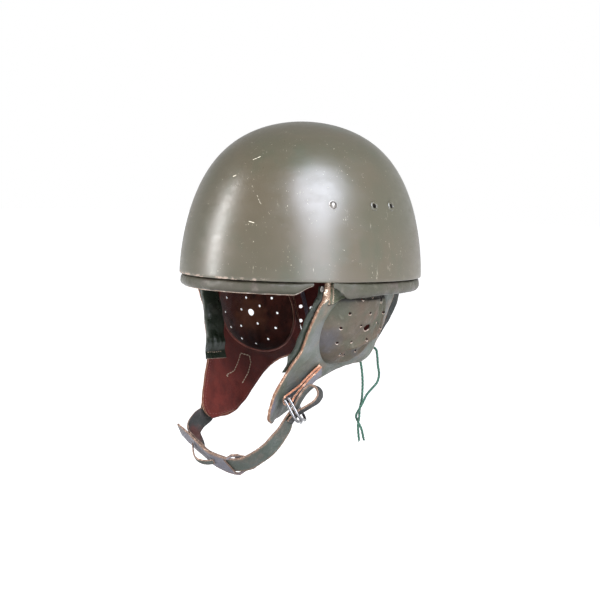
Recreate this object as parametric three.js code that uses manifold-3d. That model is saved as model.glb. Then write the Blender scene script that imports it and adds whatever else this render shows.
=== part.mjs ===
// Uniform crash helmet with leather ear flaps, a neck curtain and a chin strap, in millimetres.
// +Z is up, the face looks along -Y and the wearer's left is +X.
// The origin is the centre of the head opening, on the plane of the shell's rim.
import * as THREE from "three";
import Module from "manifold-3d";
import { mergeVertices } from "three/addons/utils/BufferGeometryUtils.js";

const wasm = await Module();
wasm.setup();

// Hard shell: half an ellipsoid, fuller towards its top
const shellHalfWidth = 119.5;
const shellHalfLength = 144.4;
const shellHeight = 167.1;
const shellFullness = { extra: 0.19, power: 2.7 };
const shellWall = 3.5;
const shellSegments = 30;
const domeRows = 8;

// Leather and the gap that sewn pieces keep
const gap = 0.3;
const leather = 2;
const suede = 1.5;
const liningMargin = 0.8;

// Rivets and vents on the sides, all at one height
const fittingHeight = 79;
const rivetY = -54;
const ventY = { front: -3, rear: 25 };
const rivetHead = { radius: 4.4, rise: 2.2, shank: 2 };
const eyelet = { hole: 2, barrel: 4.1, flange: 5.6, rise: 1.3 };
const fittingSides = 8;
const innerFacetRoom = 1.5;

// Lengths of the round tools that cut the holes, each longer than the wall that it goes through
const toolLength = { fitting: 24, flap: 70, cup: 12, curtain: 24 };

// Rolled padded edging under the rim, by the angle from the front of the helmet in degrees
const roll = { height: 13, width: 13, inset: 1.6, sides: 8, taper: 9, tip: 0.3, squareness: 0.86 };
const rollFrontEnd = 57;
const rollRearStart = 66;
const rollRear = { height: 14.2, drop: 4, dropFade: 34, narrow: 0.25, widening: 22 };
const rollNape = { share: 0.8, reach: 50 };

// The flat of the left ear flap: its centre is the centre of the ear cup
const earCentre = new THREE.Vector3(77.8, 4, -47.5);
const earYaw = THREE.MathUtils.degToRad(7.2);
const earTilt = THREE.MathUtils.degToRad(20.8);
const out = new THREE.Vector3(
  Math.cos(earYaw) * Math.cos(earTilt),
  Math.sin(earYaw) * Math.cos(earTilt),
  -Math.sin(earTilt),
);
const along = new THREE.Vector3(-Math.sin(earYaw), Math.cos(earYaw), 0);
const down = new THREE.Vector3().crossVectors(along, out);

// Flap outline: the front and rear edges at each distance down from the ear cup's centre
const flapRows = [
  { down: -72, front: -64, rear: 58 },
  { down: -51, front: -67, rear: 58 },
  { down: -30, front: -71, rear: 58 },
  { down: 0, front: -72, rear: 58 },
  { down: 29, front: -74, rear: 57 },
  { down: 42, front: -78, rear: 57 },
  { down: 51, front: -80, rear: 55 },
  { down: 56, front: -81, rear: 34 },
  { down: 61, front: -83, rear: 14 },
  { down: 68, front: -86, rear: -2 },
  { down: 77, front: -89, rear: -15 },
  { down: 92, front: -92, rear: -30 },
  { down: 106, front: -94, rear: -43 },
  { down: 116, front: -91, rear: -56 },
  { down: 121, front: -83, rear: -68 },
];
const flapColumns = 6;

// How each flap's lower end has moved from its mirrored place: backwards and upwards, full at the tip
const flapPull = {
  left: { back: 7, up: 5 },
  right: { back: -4, up: 0 },
  from: 60,
  full: 116,
};

// How far the flap leans off its flat, each over its own range of distances down
const lean = {
  lower: { by: -4, from: 30, to: 60 },
  lowerRear: { by: -9, from: 40, to: 80 },
  topFront: { by: 5, from: 0, to: 40 },
};
const hemStart = -30;
const hemTop = { down: -72, z: 20 };
const hemRoom = 2;
const hemCurve = 1.5;

// Ear cup: a perforated dome set in a round hole of the flap
const cup = { radius: 50.5, hole: 51.7, liningHole: 51.3, depth: 17, power: 2.8, wall: 1.8, centreHole: 4.2 };
const cupCentreShift = { along: 4, down: -2 };
const cupSides = 18;
const cupRadii = [22, 38];
const cupHoleRadius = 2.1;
const cupHoleSides = 5;
const flapHoleSides = 26;
const cupRing = { radius: 36, count: 12, phase: 3 };
const cupInnerHoles = [
  { along: -9, down: -6 },
  { along: -14, down: 14 },
  { along: 10, down: 12 },
  { along: 17, down: -9 },
  { along: 0, down: -20 },
];

// Puffed facing strip inside the flap's front edge
const facing = { top: -46, bottom: 56, inner: -50, narrowing: 7, rows: 9 };
const facingPuff = { lead: 4, leadFade: 40, puff: 7, under: 0.5 };
const facingShape = [
  { edge: "front", shift: 1, lead: 0, puff: 0 },
  { edge: "front", shift: 0, lead: 0.8, puff: 0.2 },
  { edge: "front", shift: 0, lead: 1, puff: 0.55 },
  { edge: "front", shift: 0, lead: 0.3, puff: 0.9 },
  { edge: "middle", shift: 0, lead: 0, puff: 1 },
  { edge: "inner", shift: -3, lead: 0, puff: 0.75 },
  { edge: "inner", shift: 0, lead: 0, puff: 0.2 },
  { edge: "inner", shift: -1, lead: 0, puff: 0 },
];

// Neck curtain: half an ellipse in plan at each height
const curtainRows = [
  { z: 20, halfWidth: 108, halfLength: 136 },
  { z: 0, halfWidth: 88, halfLength: 132 },
  { z: -23, halfWidth: 84, halfLength: 131 },
  { z: -34, halfWidth: 79.5, halfLength: 130 },
  { z: -44, halfWidth: 76, halfLength: 125 },
  { z: -55, halfWidth: 72.4, halfLength: 118 },
  { z: -67, halfWidth: 65.5, halfLength: 111 },
  { z: -80, halfWidth: 58.5, halfLength: 104 },
  { z: -96, halfWidth: 51, halfLength: 92.5 },
];
const curtainFrontY = 56;
const curtainColumns = 13;
const curtainHoles = [
  { y: 62.8, z: -44 },
  { y: 75, z: -46 },
  { y: 58, z: -60 },
  { y: 68, z: -61 },
];
const tape = { y: 68, top: -26, bottom: -76, width: 5, thick: 0.8, slack: 0.4, rows: 5 };

// Chin strap: its path and the way that its outer face looks
const strap = { width: 20, thick: 2.2, slack: 1 };
const strapOnFlap = [
  { along: -30, down: 50 },
  { along: -40, down: 66 },
  { along: -53, down: 84 },
  { along: -69, down: 98 },
  { along: -83, down: 106 },
];
const strapRound = [
  { x: -48.5, y: -90, z: -154, out: [-0.93, -0.1, -0.3] },
  { x: -49, y: -102, z: -161.5, out: [-0.85, -0.2, -0.5] },
  { x: -47, y: -109.5, z: -170, out: [-0.75, -0.25, -0.62] },
  { x: -39, y: -110.5, z: -178.5, out: [-0.55, -0.42, -0.72] },
  { x: -29.5, y: -111, z: -186.5, out: [-0.2, -0.66, -0.72] },
  { x: -19, y: -109.3, z: -193, out: [-0.02, -0.7, -0.71] },
  { x: -8, y: -106, z: -197.2, out: [0.08, -0.7, -0.7] },
  { x: 3.5, y: -102.5, z: -200, out: [0.15, -0.7, -0.65] },
  { x: 14, y: -99, z: -200, out: [0.35, -0.65, -0.65] },
  { x: 23, y: -95, z: -197.5, out: [0.55, -0.55, -0.6] },
  { x: 31, y: -90.5, z: -192.5, out: [0.7, -0.45, -0.55] },
  { x: 41, y: -82.5, z: -182, out: [0.85, -0.3, -0.45] },
  { x: 48.5, y: -76, z: -170.5, out: [0.93, -0.15, -0.33] },
  { x: 54, y: -71, z: -159, out: [0.93, 0.02, -0.36] },
  { x: 58, y: -68.3, z: -147.2, out: [0.87, 0.25, -0.4] },
  { x: 62.6, y: -63.7, z: -135.9, out: [0.82, 0.38, -0.42] },
  { x: 65.4, y: -59.6, z: -124.7, out: [0.82, 0.38, -0.44] },
  { x: 69.2, y: -55.6, z: -116.6, out: [0.71, 0.25, -0.66] },
  { x: 74.8, y: -51.4, z: -111.6, out: [0.26, -0.09, -0.96] },
  { x: 81.1, y: -48.7, z: -114, out: [-0.51, -0.49, -0.7] },
  { x: 84.4, y: -49, z: -120.4, out: [-0.86, -0.5, 0.08] },
  { x: 81.9, y: -52.1, z: -126.8, out: [-0.71, -0.25, 0.66] },
  { x: 76.4, y: -56.7, z: -131.9, out: [-0.58, -0.14, 0.8] },
  { x: 68.7, y: -61.9, z: -138, out: [-0.6, -0.15, 0.78] },
  { x: 64.9, y: -65.4, z: -142.6, out: [-0.74, -0.29, 0.61] },
  { x: 61.9, y: -70.3, z: -150.8, out: [-0.79, -0.34, 0.52] },
];
const strapSteps = 50;

// Chin pad outside the strap, a slanted strip between numbered rows of the strap's course, whose first
// stretch leaves the strap and ends in a free tip, and a small loop on its face
const pad = { width: 27, thick: 2, lift: 2.8, start: 6.2, free: 9.6, slit: 12.4, slitEnd: 13.1, end: 14.6 };
const padCut = { slant: 0.4, taper: 0.7, taperRows: 0.8, slitRoom: 0.25, sideRoom: 0.7, depth: 12 };
const padRows = { outside: 12, inside: 6 };
const padTip = { x: -53.5, y: -121.5, z: -168, out: [-0.245, -0.82, -0.52] };
const keeper = { start: 8.1, end: 10.7, bulge: 8.5, width: 9, thick: 1.8, rows: 8 };

// Steel rings round the strap and the doubled tab that holds them
const ring = { wire: 1.5, halfWidth: 14, depth: 25, sides: 6, steps: 20 };
const ringShape = [
  { across: 0, deep: 0 },
  { across: 0.5, deep: 0 },
  { across: 1, deep: 0 },
  { across: 1, deep: 0.25 },
  { across: 0.98, deep: 0.78 },
  { across: 0.7, deep: 0.98 },
  { across: 0, deep: 1 },
];
const ringBar = new THREE.Vector3(56.4, -65.5, -127.7);
const ringSide = new THREE.Vector3(0.502, -0.837, 0.22).normalize();
const ringBow = new THREE.Vector3(0.572, 0.13, -0.81).normalize();
const ringApart = 2.4;
const tab = { width: 17, thick: 2.2, along: -29, down: 53, lift: 0.7, layerGap: 0.4, reach: 6.3, round: 4.4 };
const tabShares = [0, 0.35, 0.7, 0.88];
const tabOpening = 4;
const tabTurn = [-90, -45, 0, 45, 90];

// Neck cords: two free strands
const cord = { radius: 1.35, sides: 8, step: 8 };
const cordRouteA = [
  [46.7, 49.6, -95],
  [47.2, 51.5, -103],
  [47, 54, -116],
  [45.5, 56, -129],
  [43, 58, -139],
  [42.5, 56, -149],
  [44.5, 53.5, -158],
  [44, 52.5, -167],
  [43.5, 54, -176],
  [44, 55, -184],
];
const cordRouteB = [
  [37.1, 79.7, -82],
  [40.2, 81.4, -84.5],
  [42, 82, -92],
  [42.5, 83, -102],
  [43, 85, -113],
  [43.5, 82, -121],
  [45, 70, -129],
  [48, 60, -134],
  [48, 54.5, -142],
  [46, 50.7, -150],
  [41.3, 51.6, -157.5],
  [39.6, 56.5, -164],
  [43, 59.5, -173],
  [44.5, 61.5, -183],
];

const colours = {
  paint: [0x6f6b52, 0.35, 0.2],
  roll: [0x76724f, 0.6, 0],
  leather: [0x626b58, 0.65, 0],
  cup: [0x716a54, 0.65, 0],
  suede: [0x4f2018, 0.95, 0],
  facing: [0x222c1e, 0.6, 0],
  tape: [0x5c5560, 0.8, 0],
  steel: [0xb0b0b0, 0.35, 1],
  cord: [0x2f5b43, 0.9, 0],
};

function material(name) {
  const [color, roughness, metalness] = colours[name];
  return new THREE.MeshStandardMaterial({ color, roughness, metalness });
}

function vector(x, y, z) {
  return new THREE.Vector3(x, y, z);
}

// Smooth step from 0 at low to 1 at high
function smooth(x, low, high) {
  return THREE.MathUtils.smoothstep(x, low, high);
}

// Reads one column of a table between its rows
function column(rows, key, at, value) {
  const first = rows[0][key];
  const last = rows[rows.length - 1][key];
  const rising = last > first;
  for (let i = 1; i < rows.length; i++) {
    const a = rows[i - 1];
    const b = rows[i];
    if (rising ? at <= b[key] : at >= b[key]) {
      const t = THREE.MathUtils.clamp((at - a[key]) / (b[key] - a[key]), 0, 1);
      return a[value] + (b[value] - a[value]) * t;
    }
  }
  return rows[rows.length - 1][value];
}

// A geometry from points and triangles, turned so that its faces look outwards
function closedBody(points, faces) {
  let volume = 0;
  const cross = vector();
  for (const [a, b, c] of faces) {
    volume += cross.crossVectors(points[b], points[c]).dot(points[a]);
  }
  const turned = volume < 0 ? faces.map(([a, b, c]) => [a, c, b]) : faces;
  const geometry = new THREE.BufferGeometry();
  geometry.setAttribute("position", new THREE.Float32BufferAttribute(points.flatMap((p) => p.toArray()), 3));
  geometry.setIndex(turned.flat());
  return geometry;
}

// A solid through a row of rings with equal counts of points, open with flat ends or joined end to end
function loft(rings, joined = false) {
  const count = rings[0].length;
  const points = rings.flat();
  const faces = [];
  const last = joined ? rings.length : rings.length - 1;
  for (let i = 0; i < last; i++) {
    const j = (i + 1) % rings.length;
    for (let k = 0; k < count; k++) {
      const a = i * count + k;
      const b = i * count + ((k + 1) % count);
      const c = j * count + k;
      const d = j * count + ((k + 1) % count);
      faces.push([a, b, d], [a, d, c]);
    }
  }
  if (!joined) {
    for (const [ringIndex, flip] of [[0, true], [rings.length - 1, false]]) {
      const centre = points.length;
      const middle = rings[ringIndex].reduce((sum, p) => sum.add(p), vector()).divideScalar(count);
      points.push(middle);
      for (let k = 0; k < count; k++) {
        const a = ringIndex * count + k;
        const b = ringIndex * count + ((k + 1) % count);
        faces.push(flip ? [centre, b, a] : [centre, a, b]);
      }
    }
  }
  return closedBody(points, faces);
}

// A closed wall between an outer and an inner grid of points
function wall(outer, inner) {
  const rows = outer.length;
  const columns = outer[0].length;
  const points = [...outer.flat(), ...inner.flat()];
  const half = rows * columns;
  const at = (i, j) => i * columns + j;
  const faces = [];
  for (let i = 0; i < rows - 1; i++) {
    for (let j = 0; j < columns - 1; j++) {
      const [a, b, c, d] = [at(i, j), at(i, j + 1), at(i + 1, j + 1), at(i + 1, j)];
      faces.push([a, b, c], [a, c, d]);
      faces.push([half + a, half + c, half + b], [half + a, half + d, half + c]);
    }
  }
  const border = [];
  for (let j = 0; j < columns - 1; j++) border.push(at(0, j));
  for (let i = 0; i < rows - 1; i++) border.push(at(i, columns - 1));
  for (let j = columns - 1; j > 0; j--) border.push(at(rows - 1, j));
  for (let i = rows - 1; i > 0; i--) border.push(at(i, 0));
  border.forEach((a, k) => {
    const b = border[(k + 1) % border.length];
    faces.push([a, half + b, b], [a, half + a, half + b]);
  });
  return closedBody(points, faces);
}

// A grid of points on a surface given as a function of two numbers
function grid(rows, columns, point) {
  return rows.map((u) => columns.map((v) => point(u, v)));
}

// Evenly spaced numbers from a to b
function spread(a, b, count) {
  return Array.from({ length: count + 1 }, (_, i) => a + ((b - a) * i) / count);
}

function toSolid(geometry) {
  const plain = geometry.clone();
  plain.deleteAttribute("normal");
  plain.deleteAttribute("uv");
  const merged = mergeVertices(plain, 1e-3);
  return new wasm.Manifold(
    new wasm.Mesh({
      numProp: 3,
      vertProperties: new Float32Array(merged.attributes.position.array),
      triVerts: new Uint32Array(merged.index.array),
    }),
  );
}

function toGeometry(solid) {
  const mesh = solid.getMesh();
  const geometry = new THREE.BufferGeometry();
  geometry.setAttribute("position", new THREE.BufferAttribute(new Float32Array(mesh.vertProperties), 3));
  geometry.setIndex(new THREE.BufferAttribute(new Uint32Array(mesh.triVerts), 1));
  return geometry;
}

// Cuts a list of tool geometries out of a geometry
function cut(geometry, tools) {
  return toGeometry(tools.reduce((solid, tool) => solid.subtract(toSolid(tool)), toSolid(geometry)));
}

// A round bar along an axis, centred on a point
function bar(centre, axis, radius, length, sides) {
  const geometry = new THREE.CylinderGeometry(radius, radius, length, sides);
  const turn = new THREE.Quaternion().setFromUnitVectors(vector(0, 1, 0), axis.clone().normalize());
  geometry.applyQuaternion(turn);
  geometry.translate(centre.x, centre.y, centre.z);
  return geometry;
}

// How far a level of the shell's outside is drawn in, as a share of its rim
function shellScale(z) {
  const rise = Math.max(0, z) / shellHeight;
  const fullness = 1 + shellFullness.extra * rise ** shellFullness.power;
  return fullness * Math.sqrt(Math.max(0, 1 - rise * rise));
}

// A point of the shell's outside on the left, at a given distance back and height, and its outward normal
function shellSpot(y, z) {
  const scale = shellScale(z);
  const x = shellHalfWidth * Math.sqrt(scale * scale - (y / shellHalfLength) ** 2);
  const step = 0.5;
  const slope = (shellScale(z + step) - shellScale(z - step)) / (2 * step);
  const normal = vector(x / shellHalfWidth ** 2, y / shellHalfLength ** 2, -scale * slope).normalize();
  return { point: vector(x, y, z), normal };
}

// The dome's curve from the rim up to the axis, drawn in by a wall
function shellProfile(inset) {
  const points = [];
  for (let i = 0; i <= domeRows; i++) {
    const z = shellHeight * Math.sin((i / domeRows) * (Math.PI / 2));
    const inner = (shellHeight - inset) / shellHeight;
    const narrow = (shellHalfWidth - inset) / shellHalfWidth;
    points.push(new THREE.Vector2(shellHalfWidth * shellScale(z) * narrow, z * inner));
  }
  points[points.length - 1].x = 0;
  return points;
}

function fittingHoles() {
  const holes = [];
  const places = [
    [rivetY, rivetHead.shank],
    [ventY.front, eyelet.barrel],
    [ventY.rear, eyelet.barrel],
  ];
  for (const side of [1, -1]) {
    for (const [y, radius] of places) {
      const { point, normal } = shellSpot(y, fittingHeight);
      point.x *= side;
      normal.x *= side;
      holes.push(bar(point, normal, radius + gap, toolLength.fitting, fittingSides));
    }
  }
  return holes;
}

function shell() {
  const profile = [...shellProfile(0).reverse(), ...shellProfile(shellWall)];
  const lathe = new THREE.LatheGeometry(profile.reverse(), shellSegments);
  lathe.rotateX(Math.PI / 2);
  lathe.scale(1, shellHalfLength / shellHalfWidth, 1);
  return cut(lathe, fittingHoles());
}

// A turned fitting set in the shell's wall, its profile given as radius and height over the outside
function fitting(profile, y) {
  const lathe = new THREE.LatheGeometry(profile.map(([r, h]) => new THREE.Vector2(r, h)), fittingSides);
  const { point, normal } = shellSpot(y, fittingHeight);
  lathe.applyQuaternion(new THREE.Quaternion().setFromUnitVectors(vector(0, 1, 0), normal));
  lathe.translate(point.x, point.y, point.z);
  return lathe;
}

function rivet() {
  const { radius, rise, shank } = rivetHead;
  const back = -shellWall - innerFacetRoom;
  const profile = [
    [0, rise],
    [radius * 0.6, rise * 0.8],
    [radius, gap],
    [shank, gap],
    [shank, back],
    [radius, back],
    [radius, back - 1],
    [0, back - 1],
  ];
  return fitting(profile.reverse(), rivetY);
}

function ventEyelet(y) {
  const { hole, barrel, flange, rise } = eyelet;
  const back = -shellWall - innerFacetRoom;
  const profile = [
    [hole, gap],
    [hole + 0.8, rise],
    [barrel + 0.4, rise],
    [flange, gap],
    [barrel, gap],
    [barrel, back],
    [flange - 0.3, back],
    [flange - 0.3, back - 0.7],
    [hole, back - 0.7],
    [hole, gap],
  ];
  return fitting(profile.reverse(), y);
}

// A point on the rim's ellipse at an angle from the front, with its outward normal in plan
function rimSpot(degrees) {
  const angle = THREE.MathUtils.degToRad(degrees);
  const point = vector(shellHalfWidth * Math.sin(angle), -shellHalfLength * Math.cos(angle), 0);
  const normal = vector(point.x / shellHalfWidth ** 2, point.y / shellHalfLength ** 2, 0).normalize();
  return { point, normal };
}

// One section of the rolled edging, hung from the rim
function rollSection(degrees, height, width) {
  const { point, normal } = rimSpot(degrees);
  const middle = -gap - height / 2;
  return Array.from({ length: roll.sides }, (_, k) => {
    const angle = (2 * Math.PI * k) / roll.sides;
    const c = Math.sign(Math.cos(angle)) * Math.abs(Math.cos(angle)) ** roll.squareness;
    const s = Math.sign(Math.sin(angle)) * Math.abs(Math.sin(angle)) ** roll.squareness;
    const inwards = roll.inset + (width / 2) * (1 - c);
    return point.clone().addScaledVector(normal, -inwards).setZ(middle + (height / 2) * s);
  });
}

// A roll between two angles that tapers towards both its tips
function rollPiece(start, end, count, heightAt, widthAt) {
  const sections = spread(start, end, count).map((degrees) => {
    const toEnd = Math.min(degrees - start, end - degrees);
    const size = roll.tip + (1 - roll.tip) * smooth(toEnd, 0, roll.taper);
    return rollSection(degrees, heightAt(toEnd) * size, widthAt(degrees, toEnd) * size);
  });
  return loft(sections);
}

function rimRollFront() {
  return rollPiece(-rollFrontEnd, rollFrontEnd, 20, () => roll.height, () => roll.width);
}

// The rear roll hangs lower and is thinner beside the flaps
function rimRollRear() {
  const { height, drop, dropFade, narrow, widening } = rollRear;
  const heightAt = (fromFlap) => height + drop * (1 - smooth(fromFlap, 0, dropFade));
  const widthAt = (degrees, fromFlap) => {
    const sides = narrow + (1 - narrow) * smooth(fromFlap, 0, widening);
    const back = rollNape.share + (1 - rollNape.share) * smooth(Math.abs(degrees - 180), 0, rollNape.reach);
    return roll.width * sides * back;
  };
  return rollPiece(rollRearStart, 360 - rollRearStart, 30, heightAt, widthAt);
}

function flapEdge(d, side) {
  return column(flapRows, "down", d, side);
}

// How far the flap leans off its flat: in along its lower rear edge, out at the top of its front edge
function flapLean(a, d) {
  const front = flapEdge(d, "front");
  const t = THREE.MathUtils.clamp((a - front) / (flapEdge(d, "rear") - front), 0, 1);
  const { lower, lowerRear, topFront } = lean;
  const all = lower.by * smooth(d, lower.from, lower.to);
  const rear = lowerRear.by * smooth(d, lowerRear.from, lowerRear.to) * t;
  return all + rear + topFront.by * smooth(-d, topFront.from, topFront.to) * (1 - t) ** 2;
}

function flapFlat(side, a, d) {
  const pull = smooth(d, flapPull.from, flapPull.full);
  return earCentre
    .clone()
    .addScaledVector(along, a + flapPull[side].back * pull)
    .addScaledVector(down, d - flapPull[side].up * pull)
    .addScaledVector(out, flapLean(a, d));
}

// The flap's outer face: flat below the hem, and flared up to the inside of the shell above it
function flapFace(side, a, d) {
  if (d >= hemStart) return flapFlat(side, a, d);
  const foot = flapFlat(side, a, hemStart);
  const scale = shellScale(hemTop.z);
  const halfWidth = shellHalfWidth * scale - shellWall - hemRoom;
  const halfLength = shellHalfLength * scale - shellWall * (shellHalfLength / shellHalfWidth) - hemRoom;
  const reach = 1 / Math.hypot(foot.x / halfWidth, foot.y / halfLength);
  const t = (hemStart - d) / (hemStart - hemTop.down);
  const flare = 1 + (reach - 1) * t ** hemCurve;
  return vector(foot.x * flare, foot.y * flare, foot.z + (hemTop.z - foot.z) * t);
}

// A point over the flap's outer face, by the face's own normal
function flapSpot(side, a, d, lift = 0) {
  return flapFace(side, a, d).addScaledVector(flapNormal(side, a, d), lift);
}

function flapNormal(side, a, d) {
  const step = 0.5;
  const across = flapFace(side, a + step, d).sub(flapFace(side, a - step, d));
  const below = flapFace(side, a, d + step).sub(flapFace(side, a, d - step));
  return below.cross(across).normalize();
}

// A layer of the flap between two lifts, drawn in from the flap's outline by a margin
function flapLayer(side, top, bottom, margin) {
  const shares = spread(0, 1, flapColumns);
  const rows = flapRows.map((row) => row.down);
  const lowest = rows[rows.length - 1] - margin;
  const point = (lift) => (d, share) => {
    const front = flapEdge(d, "front") + margin;
    const rear = flapEdge(d, "rear") - margin;
    return flapSpot(side, front + (rear - front) * share, Math.min(d, lowest), lift);
  };
  return wall(grid(rows, shares, point(top)), grid(rows, shares, point(bottom)));
}

function earFlap(side) {
  const hole = bar(earCentre, out, cup.hole, toolLength.flap, flapHoleSides);
  return cut(flapLayer(side, 0, -leather, 0), [hole]);
}

function flapLining(side) {
  const hole = bar(earCentre, out, cup.liningHole, toolLength.flap, flapHoleSides);
  return cut(flapLayer(side, -leather - gap, -leather - gap - suede, liningMargin), [hole]);
}

function cupRise(a, d) {
  const r = Math.hypot(a, d) / cup.radius;
  return r < 1 ? cup.depth * (1 - r ** cup.power) : 0;
}

// The cup lies above the flaps' pulled ends, so both sides share it
function cupSpot(a, d, lift) {
  return flapSpot("left", a, d, cupRise(a, d) + lift);
}

function earCup() {
  const sections = Array.from({ length: cupSides }, (_, k) => {
    const angle = (2 * Math.PI * k) / cupSides;
    const at = (radius) => {
      const share = 1 - (radius - cup.centreHole) / (cup.radius - cup.centreHole);
      const a = radius * Math.cos(angle) + cupCentreShift.along * share;
      const d = radius * Math.sin(angle) + cupCentreShift.down * share;
      return [a, d];
    };
    const radii = [cup.centreHole, ...cupRadii, cup.radius];
    const outer = radii.map((r) => cupSpot(...at(r), 0));
    const inner = radii.reverse().map((r) => cupSpot(...at(r), -cup.wall));
    return [...outer, ...inner];
  });
  const holes = cupInnerHoles.map((hole) => [hole.along, hole.down]);
  for (let k = 0; k < cupRing.count; k++) {
    const angle = THREE.MathUtils.degToRad(cupRing.phase + (360 / cupRing.count) * k);
    holes.push([cupRing.radius * Math.cos(angle), cupRing.radius * Math.sin(angle)]);
  }
  const tools = holes.map(([a, d]) => {
    const normal = cupSpot(a, d, 1).sub(cupSpot(a, d, -1));
    return bar(cupSpot(a, d, 0), normal, cupHoleRadius, toolLength.cup, cupHoleSides);
  });
  return cut(loft(sections, true), tools);
}

// One section of the puffed strip that lines the flap's front edge
function facingSection(side, d) {
  const front = flapEdge(d, "front");
  const inner = facing.inner - facing.narrowing * smooth(d, 0, facing.bottom);
  const edges = { front, inner, middle: (front + inner) / 2 };
  const under = -leather - suede - 2 * gap - facingPuff.under;
  const lead = facingPuff.lead * smooth(d, facing.top, facing.top + facingPuff.leadFade);
  return facingShape.map((row) => {
    const a = edges[row.edge] + row.shift - lead * row.lead;
    return flapSpot(side, a, d, under - facingPuff.puff * row.puff);
  });
}

function flapFacing(side) {
  return loft(spread(facing.top, facing.bottom, facing.rows).map((d) => facingSection(side, d)));
}

// A point of the neck curtain's outer face at an angle round the back, 0 on the left, with a depth inwards
function curtainSpot(angle, z, depth = 0) {
  const halfWidth = column(curtainRows, "z", z, "halfWidth") - depth;
  const halfLength = column(curtainRows, "z", z, "halfLength") - depth;
  return vector(halfWidth * Math.cos(angle), halfLength * Math.sin(angle), z);
}

// The angle where the curtain's outline reaches a given distance back at a height
function curtainAngle(y, z) {
  return Math.asin(y / column(curtainRows, "z", z, "halfLength"));
}

function curtainLayer(outside, inside, frontY, bottomTrim) {
  const heights = curtainRows.map((row) => row.z);
  heights[heights.length - 1] += bottomTrim;
  const shares = spread(0, 1, curtainColumns);
  const point = (depth) => (z, share) => {
    const start = curtainAngle(frontY, z);
    return curtainSpot(start + (Math.PI - 2 * start) * share, z, depth);
  };
  return wall(grid(heights, shares, point(outside)), grid(heights, shares, point(inside)));
}

function curtainHoleTools() {
  const tools = [];
  for (const side of [1, -1]) {
    for (const { y, z } of curtainHoles) {
      const spot = curtainSpot(curtainAngle(y, z), z);
      const centre = vector(side * spot.x, spot.y, z);
      const axis = vector(side * spot.x, spot.y, 0);
      tools.push(bar(centre, axis, cupHoleRadius, toolLength.curtain, cupHoleSides));
    }
  }
  return tools;
}

function neckCurtain() {
  return cut(curtainLayer(0, leather, curtainFrontY, 0), curtainHoleTools());
}

function neckLining() {
  const start = leather + gap;
  return cut(curtainLayer(start, start + suede, curtainFrontY + 1, liningMargin), curtainHoleTools());
}

function neckSeamTape() {
  const inner = leather + suede + 2 * gap + tape.slack;
  const heights = spread(tape.top, tape.bottom, tape.rows);
  const ys = [tape.y - tape.width / 2, tape.y, tape.y + tape.width / 2];
  const point = (depth) => (z, y) => curtainSpot(curtainAngle(y, z), z, depth);
  return wall(grid(heights, ys, point(inner)), grid(heights, ys, point(inner + tape.thick)));
}

// The strap's centre line, and the outward look of its face along it
function strapCourse() {
  const lift = gap + strap.thick / 2 + strap.slack;
  const stations = strapOnFlap.map((row) => {
    const point = flapSpot("right", row.along, row.down, lift);
    const normal = flapNormal("right", row.along, row.down);
    return { point: vector(-point.x, point.y, point.z), normal: vector(-normal.x, normal.y, normal.z) };
  });
  for (const row of strapRound) {
    stations.push({ point: vector(row.x, row.y, row.z), normal: vector(...row.out).normalize() });
  }
  const centre = new THREE.CatmullRomCurve3(stations.map((s) => s.point));
  const looks = new THREE.CatmullRomCurve3(stations.map((s) => s.normal));
  return { centre, looks };
}

const course = strapCourse();
const courseRows = strapOnFlap.length + strapRound.length - 1;

// A frame on a band: its point, its run, and its width and outward directions
function bandFrame(point, run, look) {
  const side = run.clone().cross(look).normalize();
  const outward = side.clone().cross(run).normalize();
  return { point, run, side, outward };
}

// The strap's frame at a row of its course, counted from the far end
function strapFrame(row) {
  const share = row / courseRows;
  const { centre, looks } = course;
  return bandFrame(centre.getPoint(share), centre.getTangent(share), looks.getPoint(share));
}

// A flat band section between the frames of its two edges, lifted off their points
function bandSection(first, second, width, thick, lift) {
  const corner = ({ point, side, outward }, w, o) =>
    point.clone().addScaledVector(side, w).addScaledVector(outward, o);
  const half = width / 2;
  const [low, high] = [lift - thick / 2, lift + thick / 2];
  return [
    corner(first, -half, low),
    corner(second, half, low),
    corner(second, half, high),
    corner(first, -half, high),
  ];
}

function chinStrap() {
  const section = (row) => bandSection(strapFrame(row), strapFrame(row), strap.width, strap.thick, 0);
  return loft(spread(0, courseRows, strapSteps).map(section));
}

// The pad's frame at a row: the strap's own, or on the free stretch one on a curve out to the tip
function padFrame(row) {
  if (row >= pad.free) return strapFrame(row);
  const root = strapFrame(pad.free);
  const tip = vector(padTip.x, padTip.y, padTip.z);
  const bend = root.point.clone().addScaledVector(root.run, -root.point.distanceTo(tip) / 2);
  const path = new THREE.QuadraticBezierCurve3(root.point, bend, tip);
  const share = (pad.free - row) / (pad.free - pad.start);
  const look = root.outward.clone().lerp(vector(...padTip.out).normalize(), share);
  return bandFrame(path.getPoint(share), path.getTangent(Math.min(share, 1)).negate(), look);
}

// A slanted section of the pad
function padSection(row, width, thick, lift) {
  return bandSection(padFrame(row - padCut.slant), padFrame(row + padCut.slant), width, thick, lift);
}

// The pad lies outside the strap up to its slit, then passes to the inside
function padLift(row) {
  return pad.lift * (1 - 2 * smooth(row, pad.slit, pad.slitEnd));
}

function chinPad() {
  const { taper, taperRows, slitRoom, sideRoom, depth } = padCut;
  const outside = spread(pad.start, pad.slit, padRows.outside);
  const rows = [...outside, ...spread(pad.slit, pad.end, padRows.inside).slice(1)];
  const body = loft(
    rows.map((row) => {
      const fromEnd = Math.min(row - pad.start, pad.end - row);
      const width = pad.width * (taper + (1 - taper) * smooth(fromEnd, 0, taperRows));
      return padSection(row, width, pad.thick, padLift(row));
    }),
  );
  const slitWidth = strap.width + 2 * sideRoom;
  const slitRows = spread(pad.slit - slitRoom, pad.slitEnd + slitRoom, 4);
  const slit = loft(slitRows.map((row) => padSection(row, slitWidth, strap.thick + depth, 0)));
  return cut(body, [slit]);
}

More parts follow.
